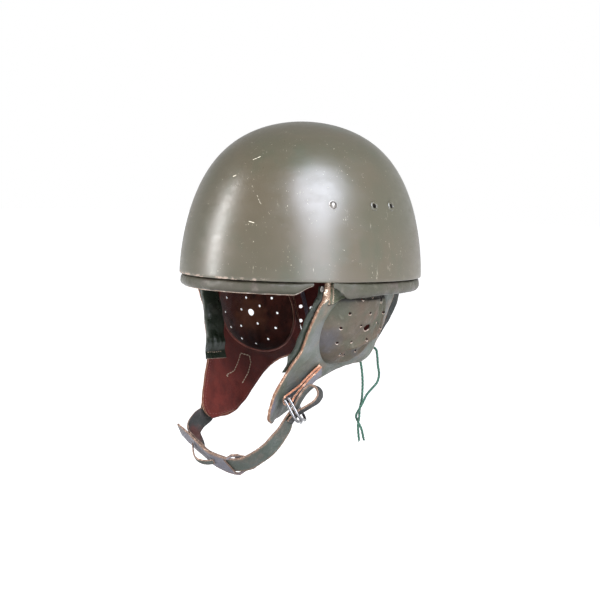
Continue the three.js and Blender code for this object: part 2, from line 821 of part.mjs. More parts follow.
// A narrow leather loop that stands off the pad's face
function chinKeeper() {
  const base = pad.lift + pad.thick / 2 + gap + keeper.thick / 2;
  return loft(
    spread(0, 1, keeper.rows).map((t) => {
      const frame = padFrame(keeper.start + (keeper.end - keeper.start) * t);
      const lift = base + keeper.bulge * Math.sin(Math.PI * t);
      return bandSection(frame, frame, keeper.width, keeper.thick, lift);
    }),
  );
}

// A steel D-ring: a straight bar and a round bow, on one closed path
function dRing(offset) {
  const apart = ringSide.clone().cross(ringBow).normalize();
  const mirrored = ringShape.slice(1, -1).reverse().map(({ across, deep }) => ({ across: -across, deep }));
  const points = [...ringShape, ...mirrored].map(({ across, deep }) =>
    ringBar
      .clone()
      .addScaledVector(apart, offset)
      .addScaledVector(ringSide, across * ring.halfWidth)
      .addScaledVector(ringBow, deep * ring.depth),
  );
  const path = new THREE.CatmullRomCurve3(points, true);
  return new THREE.TubeGeometry(path, ring.steps, ring.wire, ring.sides, true);
}

// The doubled tab: down the flap, round the bars of both rings, and back up over itself
function ringTab() {
  const seat = flapSpot("left", tab.along, tab.down, tab.lift + tab.thick / 2);
  const seatLook = flapNormal("left", tab.along, tab.down);
  const reach = ringBar.clone().sub(seat).normalize();
  const seatSide = reach.clone().cross(seatLook).normalize();
  const run = reach.clone().addScaledVector(ringSide, -reach.dot(ringSide)).normalize();
  const ringLook = ringSide.clone().cross(run).normalize();
  const side = seatSide.dot(ringSide) < 0 ? seatSide.negate() : seatSide;
  const up = ringLook.dot(seatLook) < 0 ? ringLook.negate() : ringLook;
  const sections = [];
  const section = (point, across, outward) => {
    const frame = { point, side: across, outward };
    sections.push(bandSection(frame, frame, tab.width, tab.thick, 0));
  };
  const closed = (tab.thick + tab.layerGap) / 2;
  const leg = (share, flip) => {
    const look = seatLook.clone().lerp(up, share).normalize();
    const apart = closed + (tab.round - closed) * share ** tabOpening;
    const centre = seat.clone().addScaledVector(seatLook, closed).lerp(ringBar, share);
    centre.addScaledVector(look, flip * apart);
    section(centre, side.clone().lerp(ringSide, share).normalize(), look.multiplyScalar(flip));
  };
  for (const share of tabShares) leg(share, -1);
  for (const degrees of tabTurn) {
    const angle = THREE.MathUtils.degToRad(degrees);
    const [ahead, above] = [Math.cos(angle), Math.sin(angle)];
    const away = run.clone().multiplyScalar(tab.reach * ahead).addScaledVector(up, tab.round * above);
    const outward = run.clone().multiplyScalar(ahead).addScaledVector(up, above);
    section(ringBar.clone().add(away), ringSide, outward);
  }
  for (const share of [...tabShares].reverse()) leg(share, 1);
  return loft(sections);
}

function cordTube(route) {
  const path = new THREE.CatmullRomCurve3(route.map((p) => vector(...p)));
  const shape = new THREE.Shape();
  for (let k = 0; k < cord.sides; k++) {
    const angle = (2 * Math.PI * k) / cord.sides;
    const x = cord.radius * Math.cos(angle);
    const y = cord.radius * Math.sin(angle);
    if (k) shape.lineTo(x, y);
    else shape.moveTo(x, y);
  }
  shape.closePath();
  const steps = Math.round(path.getLength() / cord.step);
  return new THREE.ExtrudeGeometry(shape, { steps, extrudePath: path, bevelEnabled: false });
}

const group = new THREE.Group();

function add(name, geometry, look, parent = group) {
  const mesh = new THREE.Mesh(geometry, material(look));
  mesh.name = name;
  parent.add(mesh);
}

// The right side is the left side seen in a mirror
const rightSide = new THREE.Group();
rightSide.scale.x = -1;
group.add(rightSide);

add("shell", shell(), "paint");
add("rim_roll_front", rimRollFront(), "roll");
add("rim_roll_rear", rimRollRear(), "roll");
for (const [side, parent] of [["left", group], ["right", rightSide]]) {
  add(`rivet_${side}`, rivet(), "steel", parent);
  add(`vent_eyelet_${side}_front`, ventEyelet(ventY.front), "paint", parent);
  add(`vent_eyelet_${side}_rear`, ventEyelet(ventY.rear), "paint", parent);
  add(`ear_flap_${side}`, earFlap(side), "leather", parent);
  add(`ear_cup_${side}`, earCup(), "cup", parent);
  add(`lining_${side}`, flapLining(side), "suede", parent);
  add(`facing_${side}`, flapFacing(side), "facing", parent);
}
add("neck_curtain", neckCurtain(), "leather");
add("lining_neck", neckLining(), "suede");
add("neck_seam_tape", neckSeamTape(), "tape", rightSide);
add("chin_strap", chinStrap(), "leather");
add("chin_pad", chinPad(), "leather");
add("chin_keeper", chinKeeper(), "leather");
add("ring_tab", ringTab(), "leather");
add("d_ring_upper", dRing(ringApart), "steel");
add("d_ring_lower", dRing(-ringApart), "steel");
add("neck_cord_a", cordTube(cordRouteA), "cord");
add("neck_cord_b", cordTube(cordRouteB), "cord");

export default group;
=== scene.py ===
# Uniform crash helmet with leather ear flaps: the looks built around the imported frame.
# Lengths are in millimetres up to the moment a mesh is made. Front is -Y, the wearer's left is +X.
import math

import bpy
import numpy as np
from mathutils import Matrix, Vector


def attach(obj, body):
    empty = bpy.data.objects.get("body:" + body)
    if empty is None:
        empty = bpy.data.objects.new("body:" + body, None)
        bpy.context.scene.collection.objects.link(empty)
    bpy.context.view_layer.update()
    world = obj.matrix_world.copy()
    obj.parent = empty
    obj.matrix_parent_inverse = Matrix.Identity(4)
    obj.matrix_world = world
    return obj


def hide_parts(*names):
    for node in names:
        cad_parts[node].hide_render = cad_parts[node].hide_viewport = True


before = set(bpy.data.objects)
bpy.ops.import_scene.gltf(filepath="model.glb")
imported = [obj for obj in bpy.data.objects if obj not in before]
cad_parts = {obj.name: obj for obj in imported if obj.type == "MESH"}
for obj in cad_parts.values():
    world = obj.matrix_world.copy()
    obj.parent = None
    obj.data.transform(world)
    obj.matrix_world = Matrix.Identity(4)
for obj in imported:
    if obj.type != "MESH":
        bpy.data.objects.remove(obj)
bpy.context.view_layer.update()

MM = 0.001
CLOTH = {"pressure": 4, "frames": 20, "quality": 5}
SEED = 7
SHARP_ANGLE = math.radians(38)

# Camera, fitted to the photograph
CAMERA = {
    "target": (-1.4, -1.4, -29.0),
    "out": (0.7167, -0.692, 0.0854),
    "right": (0.6925, 0.7206, 0.0339),
    "up": (-0.0846, 0.0345, 0.9954),
    "distance": 1600,
    "lens": 86.76,
    "sensor": 36,
    "clip": (0.05, 60),
}

# Shell, as in the CAD
SHELL = {"half_width": 119.5, "half_length": 144.4, "height": 167.1, "wall": 3.5}
FULLNESS = {"extra": 0.19, "power": 2.7}
SHELL_MESH = {"around": 192, "rows": 66, "first_angle": 89.4}
SHELL_MESH |= {"rim_rows": 9, "rim_middle": 0.9, "rim_drop": 1.2}
FITTING_HOLES = {"rivet": 2.3, "vent": 4.3, "depth": 24}
FITTING_Z = 79
RIVET_Y = -54
VENT_Y = {"front": -3, "rear": 25}

# Rolled edging under the rim, in degrees from the front
ROLL = {"height": 13, "width": 13, "inset": 1.6, "taper": 9, "tip": 0.3, "gap": 0.3, "squareness": 0.86}
ROLL_REAR = {"height": 14.2, "drop": 4, "drop_fade": 34, "narrow": 0.25, "widening": 22}
ROLL_NAPE = {"share": 0.8, "reach": 50}
ROLL_SWELL = 0.8
FACING_SWELL = 1.0
ROLL_FRONT_END = 57
ROLL_REAR_START = 66

# The flat of the left ear flap
EAR = np.array([77.8, 4, -47.5])
YAW, TILT = math.radians(7.2), math.radians(20.8)
OUT = np.array([math.cos(YAW) * math.cos(TILT), math.sin(YAW) * math.cos(TILT), -math.sin(TILT)])
ALONG = np.array([-math.sin(YAW), math.cos(YAW), 0])
DOWN = np.cross(ALONG, OUT)

# Flap outline: distance down, front edge, rear edge
FLAP_ROWS = [
    (-72, -64, 58),
    (-51, -67, 58),
    (-30, -71, 58),
    (0, -72, 58),
    (29, -74, 57),
    (42, -78, 57),
    (51, -80, 55),
    (56, -81, 34),
    (61, -83, 14),
    (68, -86, -2),
    (77, -89, -15),
    (92, -92, -30),
    (106, -94, -43),
    (116, -91, -56),
    (121, -83, -68),
]
FLAP_PULL = {"left": (7, 5), "right": (-4, 0)}
HEM = {"start": -30, "down": -72, "z": 20, "room": 2}
LEATHER = 2.0
SUEDE = 1.5
GAP = 0.3
CUP = {"radius": 50.5, "depth": 17, "power": 2.8, "wall": 1.8, "centre": 4.2}
FLAP_HOLE = {"leather": 50.2, "lining": 50.9, "seam": 51.2}
CUP_SHIFT = (4, -2)
HOLE_RADIUS = 1.6
CURTAIN_HOLE_RADIUS = 2.1
CUP_RING = {"radius": 36, "count": 12, "phase": 3}
CUP_INNER = [(-9, -6), (-14, 14), (10, 12), (17, -9), (0, -20)]
FACING = {"top": -46, "bottom": 56, "inner": -50, "narrowing": 7, "lead": 4, "puff": 7}

# Neck curtain: height, half width, half length
CURTAIN_ROWS = [
    (20, 108, 136),
    (0, 88, 132),
    (-23, 84, 131),
    (-34, 79.5, 130),
    (-44, 76, 125),
    (-55, 72.4, 118),
    (-67, 65.5, 111),
    (-80, 58.5, 104),
    (-96, 51, 92.5),
]
CURTAIN_FRONT = 56
CURTAIN_HOLES = [(62.8, -44), (75, -46), (58, -60), (68, -61)]
TAPE = {"y": 68, "top": -26, "bottom": -76, "width": 5, "thick": 0.8, "depth": 4.5}

# Chin strap: on the right flap by along and down, then by x, y, z and the look of its outer face
STRAP = {"width": 20, "thick": 2.2, "lift": 2.4}
STRAP_ON_FLAP = [(-30, 50), (-40, 66), (-53, 84), (-69, 98), (-83, 106)]
STRAP_ROUND = [
    (-48.5, -90, -154, -0.93, -0.1, -0.3),
    (-49, -102, -161.5, -0.85, -0.2, -0.5),
    (-47, -109.5, -170, -0.75, -0.25, -0.62),
    (-39, -110.5, -178.5, -0.55, -0.42, -0.72),
    (-29.5, -111, -186.5, -0.2, -0.66, -0.72),
    (-19, -109.3, -193, -0.02, -0.7, -0.71),
    (-8, -106, -197.2, 0.08, -0.7, -0.7),
    (3.5, -102.5, -200, 0.15, -0.7, -0.65),
    (14, -99, -200, 0.35, -0.65, -0.65),
    (23, -95, -197.5, 0.55, -0.55, -0.6),
    (31, -90.5, -192.5, 0.7, -0.45, -0.55),
    (41, -82.5, -182, 0.85, -0.3, -0.45),
    (48.5, -76, -170.5, 0.93, -0.15, -0.33),
    (54, -71, -159, 0.93, 0.02, -0.36),
    (58, -68.3, -147.2, 0.87, 0.25, -0.4),
    (62.6, -63.7, -135.9, 0.82, 0.38, -0.42),
    (65.4, -59.6, -124.7, 0.82, 0.38, -0.44),
    (69.2, -55.6, -116.6, 0.71, 0.25, -0.66),
    (74.8, -51.4, -111.6, 0.26, -0.09, -0.96),
    (81.1, -48.7, -114, -0.51, -0.49, -0.7),
    (84.4, -49, -120.4, -0.86, -0.5, 0.08),
    (81.9, -52.1, -126.8, -0.71, -0.25, 0.66),
    (76.4, -56.7, -131.9, -0.58, -0.14, 0.8),
    (68.7, -61.9, -138, -0.6, -0.15, 0.78),
    (64.9, -65.4, -142.6, -0.74, -0.29, 0.61),
    (61.9, -70.3, -150.8, -0.79, -0.34, 0.52),
]
PAD = {"width": 27, "thick": 2, "lift": 2.8}
PAD |= {"start": 6.2, "free": 9.6, "slit": 12.4, "slit_end": 13.1, "end": 14.6}
PAD_CUT = {"slant": 0.4, "taper": 0.7, "taper_rows": 0.8, "slit_room": 0.25, "side_room": 0.7, "depth": 12}
PAD_TIP = np.array([-53.5, -121.5, -168])
PAD_TIP_LOOK = np.array([-0.245, -0.82, -0.52])
KEEPER = {"start": 8.1, "end": 10.7, "bulge": 8.5, "width": 9, "thick": 1.8}
RING = {"wire": 1.5, "half_width": 14, "depth": 25, "apart": 2.4}
RING_BAR = np.array([56.4, -65.5, -127.7])
RING_SIDE = np.array([0.502, -0.837, 0.22])
RING_BOW = np.array([0.572, 0.13, -0.81])
TAB = {"width": 17, "thick": 2.2, "along": -29, "down": 53, "lift": 0.7}
TAB |= {"gap": 0.4, "reach": 6.3, "round": 4.4, "opening": 4}
TAB_SHARES = [0, 0.35, 0.7, 0.88]
TAB_TURN = [-90, -45, 0, 45, 90]
CORD_RADIUS = 1.35
CORD_A = [
    (46.7, 49.6, -95),
    (47.2, 51.5, -103),
    (47, 54, -116),
    (45.5, 56, -129),
    (43, 58, -139),
    (42.5, 56, -149),
    (44.5, 53.5, -158),
    (44, 52.5, -167),
    (43.5, 54, -176),
    (44, 55, -184),
]
CORD_B = [
    (37.1, 79.7, -82),
    (40.2, 81.4, -84.5),
    (42, 82, -92),
    (42.5, 83, -102),
    (43, 85, -113),
    (43.5, 82, -121),
    (45, 70, -129),
    (48, 60, -134),
    (48, 54.5, -142),
    (46, 50.7, -150),
    (41.3, 51.6, -157.5),
    (39.6, 56.5, -164),
    (43, 59.5, -173),
    (44.5, 61.5, -183),
]

# Lights: azimuth from the front towards the wearer's left, elevation, then distance, width and height
# in metres, watts and colour
LIGHTS = [
    ("softbox", 84, 42, 1.7, 1.25, 1.2, 54, (0.84, 0.88, 1.0)),
    ("softbox_low", 80, 8, 1.9, 0.9, 1.7, 24, (0.87, 0.9, 1.0)),
    ("strip", -29, 16, 2.0, 0.42, 2.1, 42, (1.0, 0.98, 0.98)),
]
# The studio's walls as light: from and to, and the brightness there, up the walls and towards the rear
WALLS = {
    "low_to_high": (0.05, 0.6, 0.85, 0.42),
    "front_to_rear": (-0.5, 0.6, 0.85, 1.0),
    "colour": (0.94, 0.96, 1.0),
}
# Floor: height, size, painted glow, the radii over which its painted shadow gives way to the glow, and the
# tone in that shadow
FLOOR = {"z": -0.62, "size": 40.0, "glow": 0.75, "near": 0.5, "far": 1.3, "shade": 0.5}

# Leathers: three tones, roughness, grain scale, crease scale, shine, and whether the edges are worn brown
LEATHERS = {
    "roll_leather": ((69, 65, 54), (61, 60, 46), (77, 69, 62), 0.4, 1300, 90, 0.4, False),
    "flap_leather": ((96, 97, 93), (82, 87, 75), (108, 97, 83), 0.5, 1500, 110, 0.4, True),
    # The neck curtain's leather is the flaps' leather darkened as painted shade
    "curtain_leather_shaded": ((40, 42, 41), (34, 38, 35), (46, 44, 40), 0.68, 1500, 110, 0.12, False),
    "cup_leather": ((76, 66, 52), (63, 63, 47), (81, 64, 50), 0.5, 1600, 140, 0.4, False),
    "strap_leather": ((75, 80, 74), (63, 70, 61), (82, 78, 69), 0.5, 1400, 120, 0.4, True),
    "pad_leather": ((102, 100, 106), (90, 88, 96), (104, 100, 98), 0.48, 1400, 120, 0.4, True),
    "strap_back": ((33, 32, 30), (29, 31, 27), (46, 38, 38), 0.65, 1700, 130, 0.4, False),
    "facing_leather": ((36, 42, 33), (29, 38, 27), (30, 30, 26), 0.32, 1300, 150, 0.5, False),
    "gusset_leather": ((78, 80, 62), (66, 72, 52), (90, 84, 66), 0.5, 900, 160, 0.4, False),
}
BROWN_WEAR = (136, 108, 86)
# Cut leather edges: main, dark and pale tone
RAW_EDGES = {
    "raw_edge": ((158, 118, 92), (104, 74, 56), (200, 166, 140)),
    "raw_pale": ((196, 176, 158), (140, 118, 102), (228, 214, 200)),
    "raw_orange": ((184, 124, 92), (128, 80, 56), (216, 168, 138)),
    "raw_strap": ((122, 98, 82), (84, 66, 54), (156, 130, 112)),
    "raw_frayed": ((170, 142, 116), (86, 64, 48), (222, 206, 184)),
    # Hole walls and gaps: the cut edge darkened as painted shade
    "raw_hole_shaded": ((34, 26, 20), (18, 14, 12), (58, 44, 34)),
}
# Suedes: main, dark and pale tone
SUEDES = {
    "suede_red": ((92, 34, 27), (67, 22, 17), (114, 51, 41)),
    "cup_inside": ((86, 42, 32), (46, 20, 16), (112, 62, 46)),
    "seam_suede": ((116, 66, 56), (76, 34, 28), (158, 108, 94)),
}
# Yarns: main, dark and pale tone, and the scale of their strands
YARNS = {
    "cord_green": ((52, 92, 74), (24, 52, 40), (96, 132, 112), 1300),
    "tape_weave": ((96, 84, 94), (62, 52, 60), (130, 118, 126), 900),
    "thread": ((178, 160, 138), (132, 110, 92), (205, 192, 172), 1800),
    "thread_faded": ((124, 74, 64), (92, 48, 40), (146, 98, 86), 1800),
}
# Steels: tone and roughness
STEELS = {"steel_plated": ((128, 127, 128), 0.18), "steel_dull": ((132, 128, 122), 0.34)}
# Stitches: pitch, length and thickness
STITCHES = {
    "edge": (3.4, 2.3, 0.5),
    "box": (3.6, 2.7, 1.1),
    "facing": (2.7, 2.0, 0.6),
    "top": (2.4, 1.8, 1.3),
}
# Paths of stitches on the flaps, as along and down
BOX_PATH = [(-60, 79), (-62, 76), (-51.5, 72), (-44, 62), (-37, 52)]
BOX_PATH += [(-27, 56), (-28, 64), (-34.6, 75.4), (-44.4, 87)]
TOP_PATH = [(-58.5, -50), (-58, -38), (-59, -28)]
# Small parts of the left flap's top, as along and down, with their sizes
GUSSET = {"top": (-62, -54), "low": (-62.5, -27), "rear": (-36, -33), "height": 27, "lift": 1.4, "swell": 1.2}
FRAYED = {"top": -60, "bottom": -28, "half": 3.6, "deep": 1.6, "stand": 1.2, "spread": 2.2}
EYE = {"along": -70, "down": -44, "lift": -3, "half_width": 1.5, "half_height": 2.8, "wire": 0.65}
# How deep the near ear cup's dents and how high its folds are
DENTS = {"wave": 0.55, "ripple": 0.22, "pocket": 10, "ridge": 2.6, "low": 2.4, "rear": 1.9, "flat": 2.5}
DENTS |= {"down": 21}
# Scratches in the paint by their two ends on the shell, half width, and whether they are pale or dark
SCRATCHES = [
    ((27.1, -100.2, 123.4), (31.8, -95.1, 126.8), 0.45, "pale"),
    ((25, -102, 121), (27.1, -100.2, 123.4), 0.3, "pale"),
    ((40.4, -112.6, 96.5), (42.6, -113, 91), 0.35, "pale"),
    ((48.4, -112.9, 87), (53.2, -112.6, 80.6), 0.3, "pale"),
    ((53.2, -112.6, 80.6), (58, -111, 74), 0.25, "pale"),
    ((58, -111, 74), (64.1, -108.9, 68.9), 0.25, "pale"),
    ((48.6, -122.9, 60.6), (53, -120, 59.5), 0.35, "pale"),
    ((14.9, -116.3, 105.9), (17.1, -115.4, 107), 0.5, "pale"),
    ((27.9, -56.3, 153.5), (32.6, -50.3, 154.3), 0.4, "pale"),
    ((83.6, -80.5, 81.8), (91.8, -74.7, 68.7), 0.22, "dark"),
    ((87.5, -83.5, 65.2), (87.2, -79.6, 74.2), 0.18, "dark"),
    ((88.1, -77.1, 75.8), (96.4, -70.8, 60), 0.22, "dark"),
    ((93.5, -72.8, 66.4), (93.1, -69.3, 73.7), 0.2, "dark"),
    ((113.6, -18.7, 51), (116, -16.9, 36.2), 0.25, "pale"),
    ((116, -16.9, 36.2), (117.5, -12, 28), 0.2, "pale"),
    ((118.1, 12.2, 21), (117.9, 21.7, 10.7), 0.3, "pale"),
    ((112.2, 26.8, 52.5), (113.4, 28.5, 44.1), 0.25, "pale"),
]
# How much wider than in their rows the scratches are drawn
SCRATCH_WIDTH = 1.7
# Stains and worn places of the leathers, with painted shade and painted light among them: centre, radius and
# colour
STAINS_AND_PAINTED_LIGHT = {
    "cup_leather": [
        ((85.8, -42.7, -67.3), 22, (74, 72, 74)),
        # Painted shade: darker grey over the near ear cup's sunken pocket
        ((76.1, 16.3, -76.1), 15, (62, 60, 62)),
        ((76.5, 38.7, -62), 16, (84, 66, 53)),
    ],
    "flap_leather": [
        ((60.5, -27.7, -103.2), 18, (96, 82, 64)),
        ((56.8, -91.4, -133.8), 17, (96, 92, 104)),
    ],
    # Painted light: a paler, warmer middle of the far ear cup's inside
    "cup_inside": [((-88, 6, -52), 27, (124, 78, 54))],
    "strap_back": [((-42, -110, -175), 15, (70, 34, 28))],
}


# Painted shadows along the creases, by their two ends and half width, in millimetres
CREASE_SHADOWS = {
    "cup_leather": [
        ((78.4, -9.4, -78.4), (78.3, 2.7, -74.7), 1.5),
        ((78.3, 2.7, -74.7), (77.9, 17.2, -70.9), 2.2),
        ((77.9, 17.2, -70.9), (74.5, 32.5, -74.5), 1.6),
        ((97.5, 10, -30), (93, 30, -46), 0.9),
    ],
}
# Leathers with painted shadow in the crevice under the rear roll: the heights it fades in between, in metres
CREVICE_SHADOWS = {"cup_leather": (-0.0225, -0.0185)}


def unit(v):
    """Vectors scaled to length 1, along the last axis."""
    v = np.asarray(v, float)
    return v / np.maximum(np.linalg.norm(v, axis=-1, keepdims=True), 1e-12)


def smooth(x, low, high):
    """Smooth step from 0 at low to 1 at high."""
    t = np.clip((np.asarray(x, float) - low) / (high - low), 0, 1)
    return t * t * (3 - 2 * t)


def soft_table(xs, ys, step=1.0, window=9):
    """A table read evenly and rounded off a little, as two arrays."""
    at = np.arange(min(xs), max(xs) + step / 2, step)
    order = np.argsort(xs)
    values = np.interp(at, np.array(xs, float)[order], np.array(ys, float)[order])
    half = window // 2
    slope = (values[1] - values[0], values[-1] - values[-2])
    before = values[0] - slope[0] * np.arange(half, 0, -1)
    after = values[-1] + slope[1] * np.arange(1, half + 1)
    padded = np.concatenate([before, values, after])
    return at, np.convolve(padded, np.ones(window) / window, "valid")


def ripple(u, v, length, seed, count=7):
    """Smooth random waves of about a wavelength over two coordinates, from -1 to 1."""
    r = np.random.default_rng(SEED * 100 + seed)
    total = np.zeros(np.broadcast(u, v).shape)
    for _ in range(count):
        angle, phase = r.random(2) * 2 * math.pi
        k = 2 * math.pi / (length * (0.7 + 0.8 * r.random()))
        total += np.sin(k * (u * math.cos(angle) + v * math.sin(angle)) + phase)
    return total / math.sqrt(count * 2)


def spline(points, count, closed=False):
    """Points evenly spaced on a centripetal curve through the given ones."""
    p = np.asarray(points, float)
    fine = np.concatenate([centripetal(p, s, closed) for s in np.linspace(0, 1, 40 * len(p))[:, None]])
    return even(fine, count, closed)


def run_length(line):
    """How far along a line each of its points lies."""
    return np.concatenate([[0], np.cumsum(np.linalg.norm(np.diff(line, axis=0), axis=1))])


def even(line, count, closed=False):
    """A line's points again, evenly spaced."""
    if closed:
        line = np.vstack([line, line[:1]])
    along = run_length(line)
    at = np.linspace(0, along[-1], count + 1 if closed else count)
    made = np.stack([np.interp(at, along, line[:, k]) for k in range(line.shape[1])], axis=1)
    return made[:-1] if closed else made


def centripetal(p, share, closed=False):
    """A point of the centripetal Catmull-Rom curve through p, as the CAD reads it, at a share of its rows."""
    n = len(p)
    share = float(np.ravel(share)[0])
    position = (n if closed else n - 1) * share
    i = int(math.floor(position))
    t = position - i
    if not closed and i >= n - 1:
        i, t = n - 2, 1.0
    if closed:
        p0, p1, p2, p3 = (p[(i + k) % n] for k in (-1, 0, 1, 2))
    else:
        p1, p2 = p[i], p[i + 1]
        p0 = p[i - 1] if i > 0 else 2 * p1 - p2
        p3 = p[i + 2] if i + 2 < n else 2 * p2 - p1
    d0, d1, d2 = (max(np.linalg.norm(b - a), 1e-6) ** 0.5 for a, b in ((p0, p1), (p1, p2), (p2, p3)))
    m1 = ((p1 - p0) / d0 - (p2 - p0) / (d0 + d1) + (p2 - p1) / d1) * d1
    m2 = ((p2 - p1) / d1 - (p3 - p1) / (d1 + d2) + (p3 - p2) / d2) * d1
    c2 = -3 * p1 + 3 * p2 - 2 * m1 - m2
    c3 = 2 * p1 - 2 * p2 + m1 + m2
    return (p1 + m1 * t + c2 * t * t + c3 * t**3)[None]


def outward(points, faces):
    """The faces turned so that the closed body they make looks outwards."""
    f = np.asarray(faces)
    a, b, c, d = (points[f[:, k]] for k in range(4))
    volume = (a * np.cross(b, c)).sum() + (a * np.cross(c, d)).sum()
    return f[:, ::-1] if volume < 0 else f


def piece(name, points, faces, materials, zones=None, sharp=SHARP_ANGLE, flip=True):
    """A named mesh from points in millimetres and quads, smooth but for its sharp edges."""
    points = np.asarray(points, float)
    faces = outward(points, faces) if flip else np.asarray(faces)
    mesh = bpy.data.meshes.new(name)
    mesh.from_pydata((points * MM).tolist(), [], [list(dict.fromkeys(f)) for f in faces.tolist()])
    for material in materials:
        mesh.materials.append(material)
    if zones is not None:
        mesh.polygons.foreach_set("material_index", np.asarray(zones, np.int32))
    mesh.polygons.foreach_set("use_smooth", np.ones(len(mesh.polygons), bool))
    mesh.update()
    mesh.set_sharp_from_angle(angle=sharp)
    made = bpy.data.objects.new(name, mesh)
    bpy.context.scene.collection.objects.link(made)
    return made


def dress(made, slot, *nodes):
    """The piece rides on the one body and stands for CAD nodes, which it hides; the slot is not used."""
    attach(made, "root")
    if nodes:
        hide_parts(*nodes)
    return made


def quads(rows, columns, wrap=False, start=0):
    """Quads of a grid of points numbered row by row."""
    i, j = np.meshgrid(np.arange(rows - 1), np.arange(columns if wrap else columns - 1), indexing="ij")
    k = (j + 1) % columns
    corners = [i * columns + j, i * columns + k, (i + 1) * columns + k, (i + 1) * columns + j]
    return np.stack([c.ravel() for c in corners], axis=1) + start


def layer(name, outer, inner, materials, wrap=False):
    """A wall between two grids of points: zone 0 is the outer face, 1 the inner face and 2 the edges."""
    rows, columns = outer.shape[:2]
    half = rows * columns
    front, back = quads(rows, columns, wrap), quads(rows, columns, wrap, half)[:, ::-1]
    border = []
    for row, turn in ((0, 1), (rows - 1, -1)):
        line = np.arange(columns) + row * columns
        nearby = np.roll(line, -1)
        if not wrap:
            line, nearby = line[:-1], nearby[:-1]
        rim = np.stack([nearby, line, line + half, nearby + half], axis=1)
        border.append(rim[:, ::turn])
    if not wrap:
        for column, turn in ((0, -1), (columns - 1, 1)):
            line = np.arange(rows) * columns + column
            rim = np.stack([line[1:], line[:-1], line[:-1] + half, line[1:] + half], axis=1)
            border.append(rim[:, ::turn])
    faces = np.vstack([front, back, *border])
    zones = np.repeat([0, 1, 2], [len(front), len(back), len(faces) - 2 * len(front)])
    points = np.concatenate([outer.reshape(-1, 3), inner.reshape(-1, 3)])
    return piece(name, points, faces, materials, zones)


def rings(sections, closed=False):
    """The points and quads of rows of equal rings, with flat fans and their middles at open ends."""
    count, size = sections.shape[:2]
    points = sections.reshape(-1, 3)
    faces = quads(count, size, wrap=True)
    if closed:
        last, first = (count - 1) * size + np.arange(size), np.arange(size)
        seam = np.stack([last, np.roll(last, -1), np.roll(first, -1), first], axis=1)
        return points, np.vstack([faces, seam])
    caps = []
    for row, turn in ((0, -1), (count - 1, 1)):
        middle = len(points)
        points = np.vstack([points, sections[row].mean(0)])
        line = row * size + np.arange(size)
        fan = np.stack([line, np.roll(line, -1), np.full(size, middle), np.full(size, middle)], axis=1)
        caps.append(fan[:, ::turn])
    return points, np.vstack([faces, *caps])


def transported(line, closed=False):
    """Two directions across a line at each point, carried along it without twist."""
    line = np.asarray(line, float)
    if closed:
        run = unit(np.roll(line, -1, 0) - np.roll(line, 1, 0))
    else:
        run = unit(np.gradient(line, axis=0))
    first = unit(np.cross(run[0], [0.31, 0.77, 0.56]))
    sides = [first]
    for r in run[1:]:
        v = sides[-1] - r * (sides[-1] @ r)
        sides.append(v / np.linalg.norm(v))
    sides = np.array(sides)
    if closed:
        last = sides[-1] - run[0] * (sides[-1] @ run[0])
        across = np.cross(run[0], first)
        slip = math.atan2(last @ across, last @ first)
        turn = -slip * np.arange(len(line)) / len(line)
        other = np.cross(run, sides)
        sides = sides * np.cos(turn)[:, None] + other * np.sin(turn)[:, None]
    return sides, np.cross(run, sides)


def tube_sections(line, radius, sides, closed=False):
    """Rings round a line, the radius a number or one value a point."""
    a, b = transported(line, closed)
    angle = np.linspace(0, 2 * math.pi, sides, endpoint=False)
    ring = np.cos(angle)[None, :, None] * a[:, None] + np.sin(angle)[None, :, None] * b[:, None]
    size = np.broadcast_to(np.asarray(radius, float), (len(line),))
    return np.asarray(line)[:, None] + ring * size[:, None, None]


def pooled(bodies):
    """Several closed bodies as one set of points and faces, each looking outwards."""
    points, faces, total = [], [], 0
    for p, f in bodies:
        points.append(p)
        faces.append(outward(p, f) + total)
        total += len(p)
    return np.vstack(points), np.vstack(faces)


def joined_tubes(name, lines, radius, sides, material, closed=False):
    """One mesh of many tubes."""
    points, faces = pooled([rings(tube_sections(line, radius, sides, closed), closed) for line in lines])
    return piece(name, points, faces, [material], flip=False)


def dome_scale(z):
    """How far a level of the shell's outside is drawn in, as a share of its rim."""
    rise = np.clip(np.asarray(z, float) / SHELL["height"], 0, 1)
    return (1 + FULLNESS["extra"] * rise ** FULLNESS["power"]) * np.sqrt(np.maximum(0, 1 - rise**2))


def shell_spot(y, z, side=1):
    """A point of the shell's outside and its outward normal."""
    scale = float(dome_scale(z))
    x = SHELL["half_width"] * math.sqrt(scale**2 - (y / SHELL["half_length"]) ** 2)
    slope = float(dome_scale(z + 0.5) - dome_scale(z - 0.5))
    normal = unit([x / SHELL["half_width"] ** 2, y / SHELL["half_length"] ** 2, -scale * slope])
    return np.array([side * x, y, z]), normal * [side, 1, 1]


FLAP_FRONT = soft_table([r[0] for r in FLAP_ROWS], [r[1] for r in FLAP_ROWS])
FLAP_REAR = soft_table([r[0] for r in FLAP_ROWS], [r[2] for r in FLAP_ROWS])


def flap_lean(a, d):
    """How far the flap leans off its flat: in along its lower rear edge, out at the top of its front edge."""
    front, rear = np.interp(d, *FLAP_FRONT), np.interp(d, *FLAP_REAR)
    t = np.clip((a - front) / np.maximum(rear - front, 8), 0, 1)
    return -4 * smooth(d, 30, 60) - 9 * smooth(d, 40, 80) * t + 5 * smooth(-d, 0, 40) * (1 - t) ** 2


def flap_flat(side, a, d):
    pull = smooth(d, 60, 116)
    back, up = FLAP_PULL[side]
    shifts = ((a + back * pull, ALONG), (d - up * pull, DOWN), (flap_lean(a, d), OUT))
    return EAR + sum(value[..., None] * axis for value, axis in shifts)


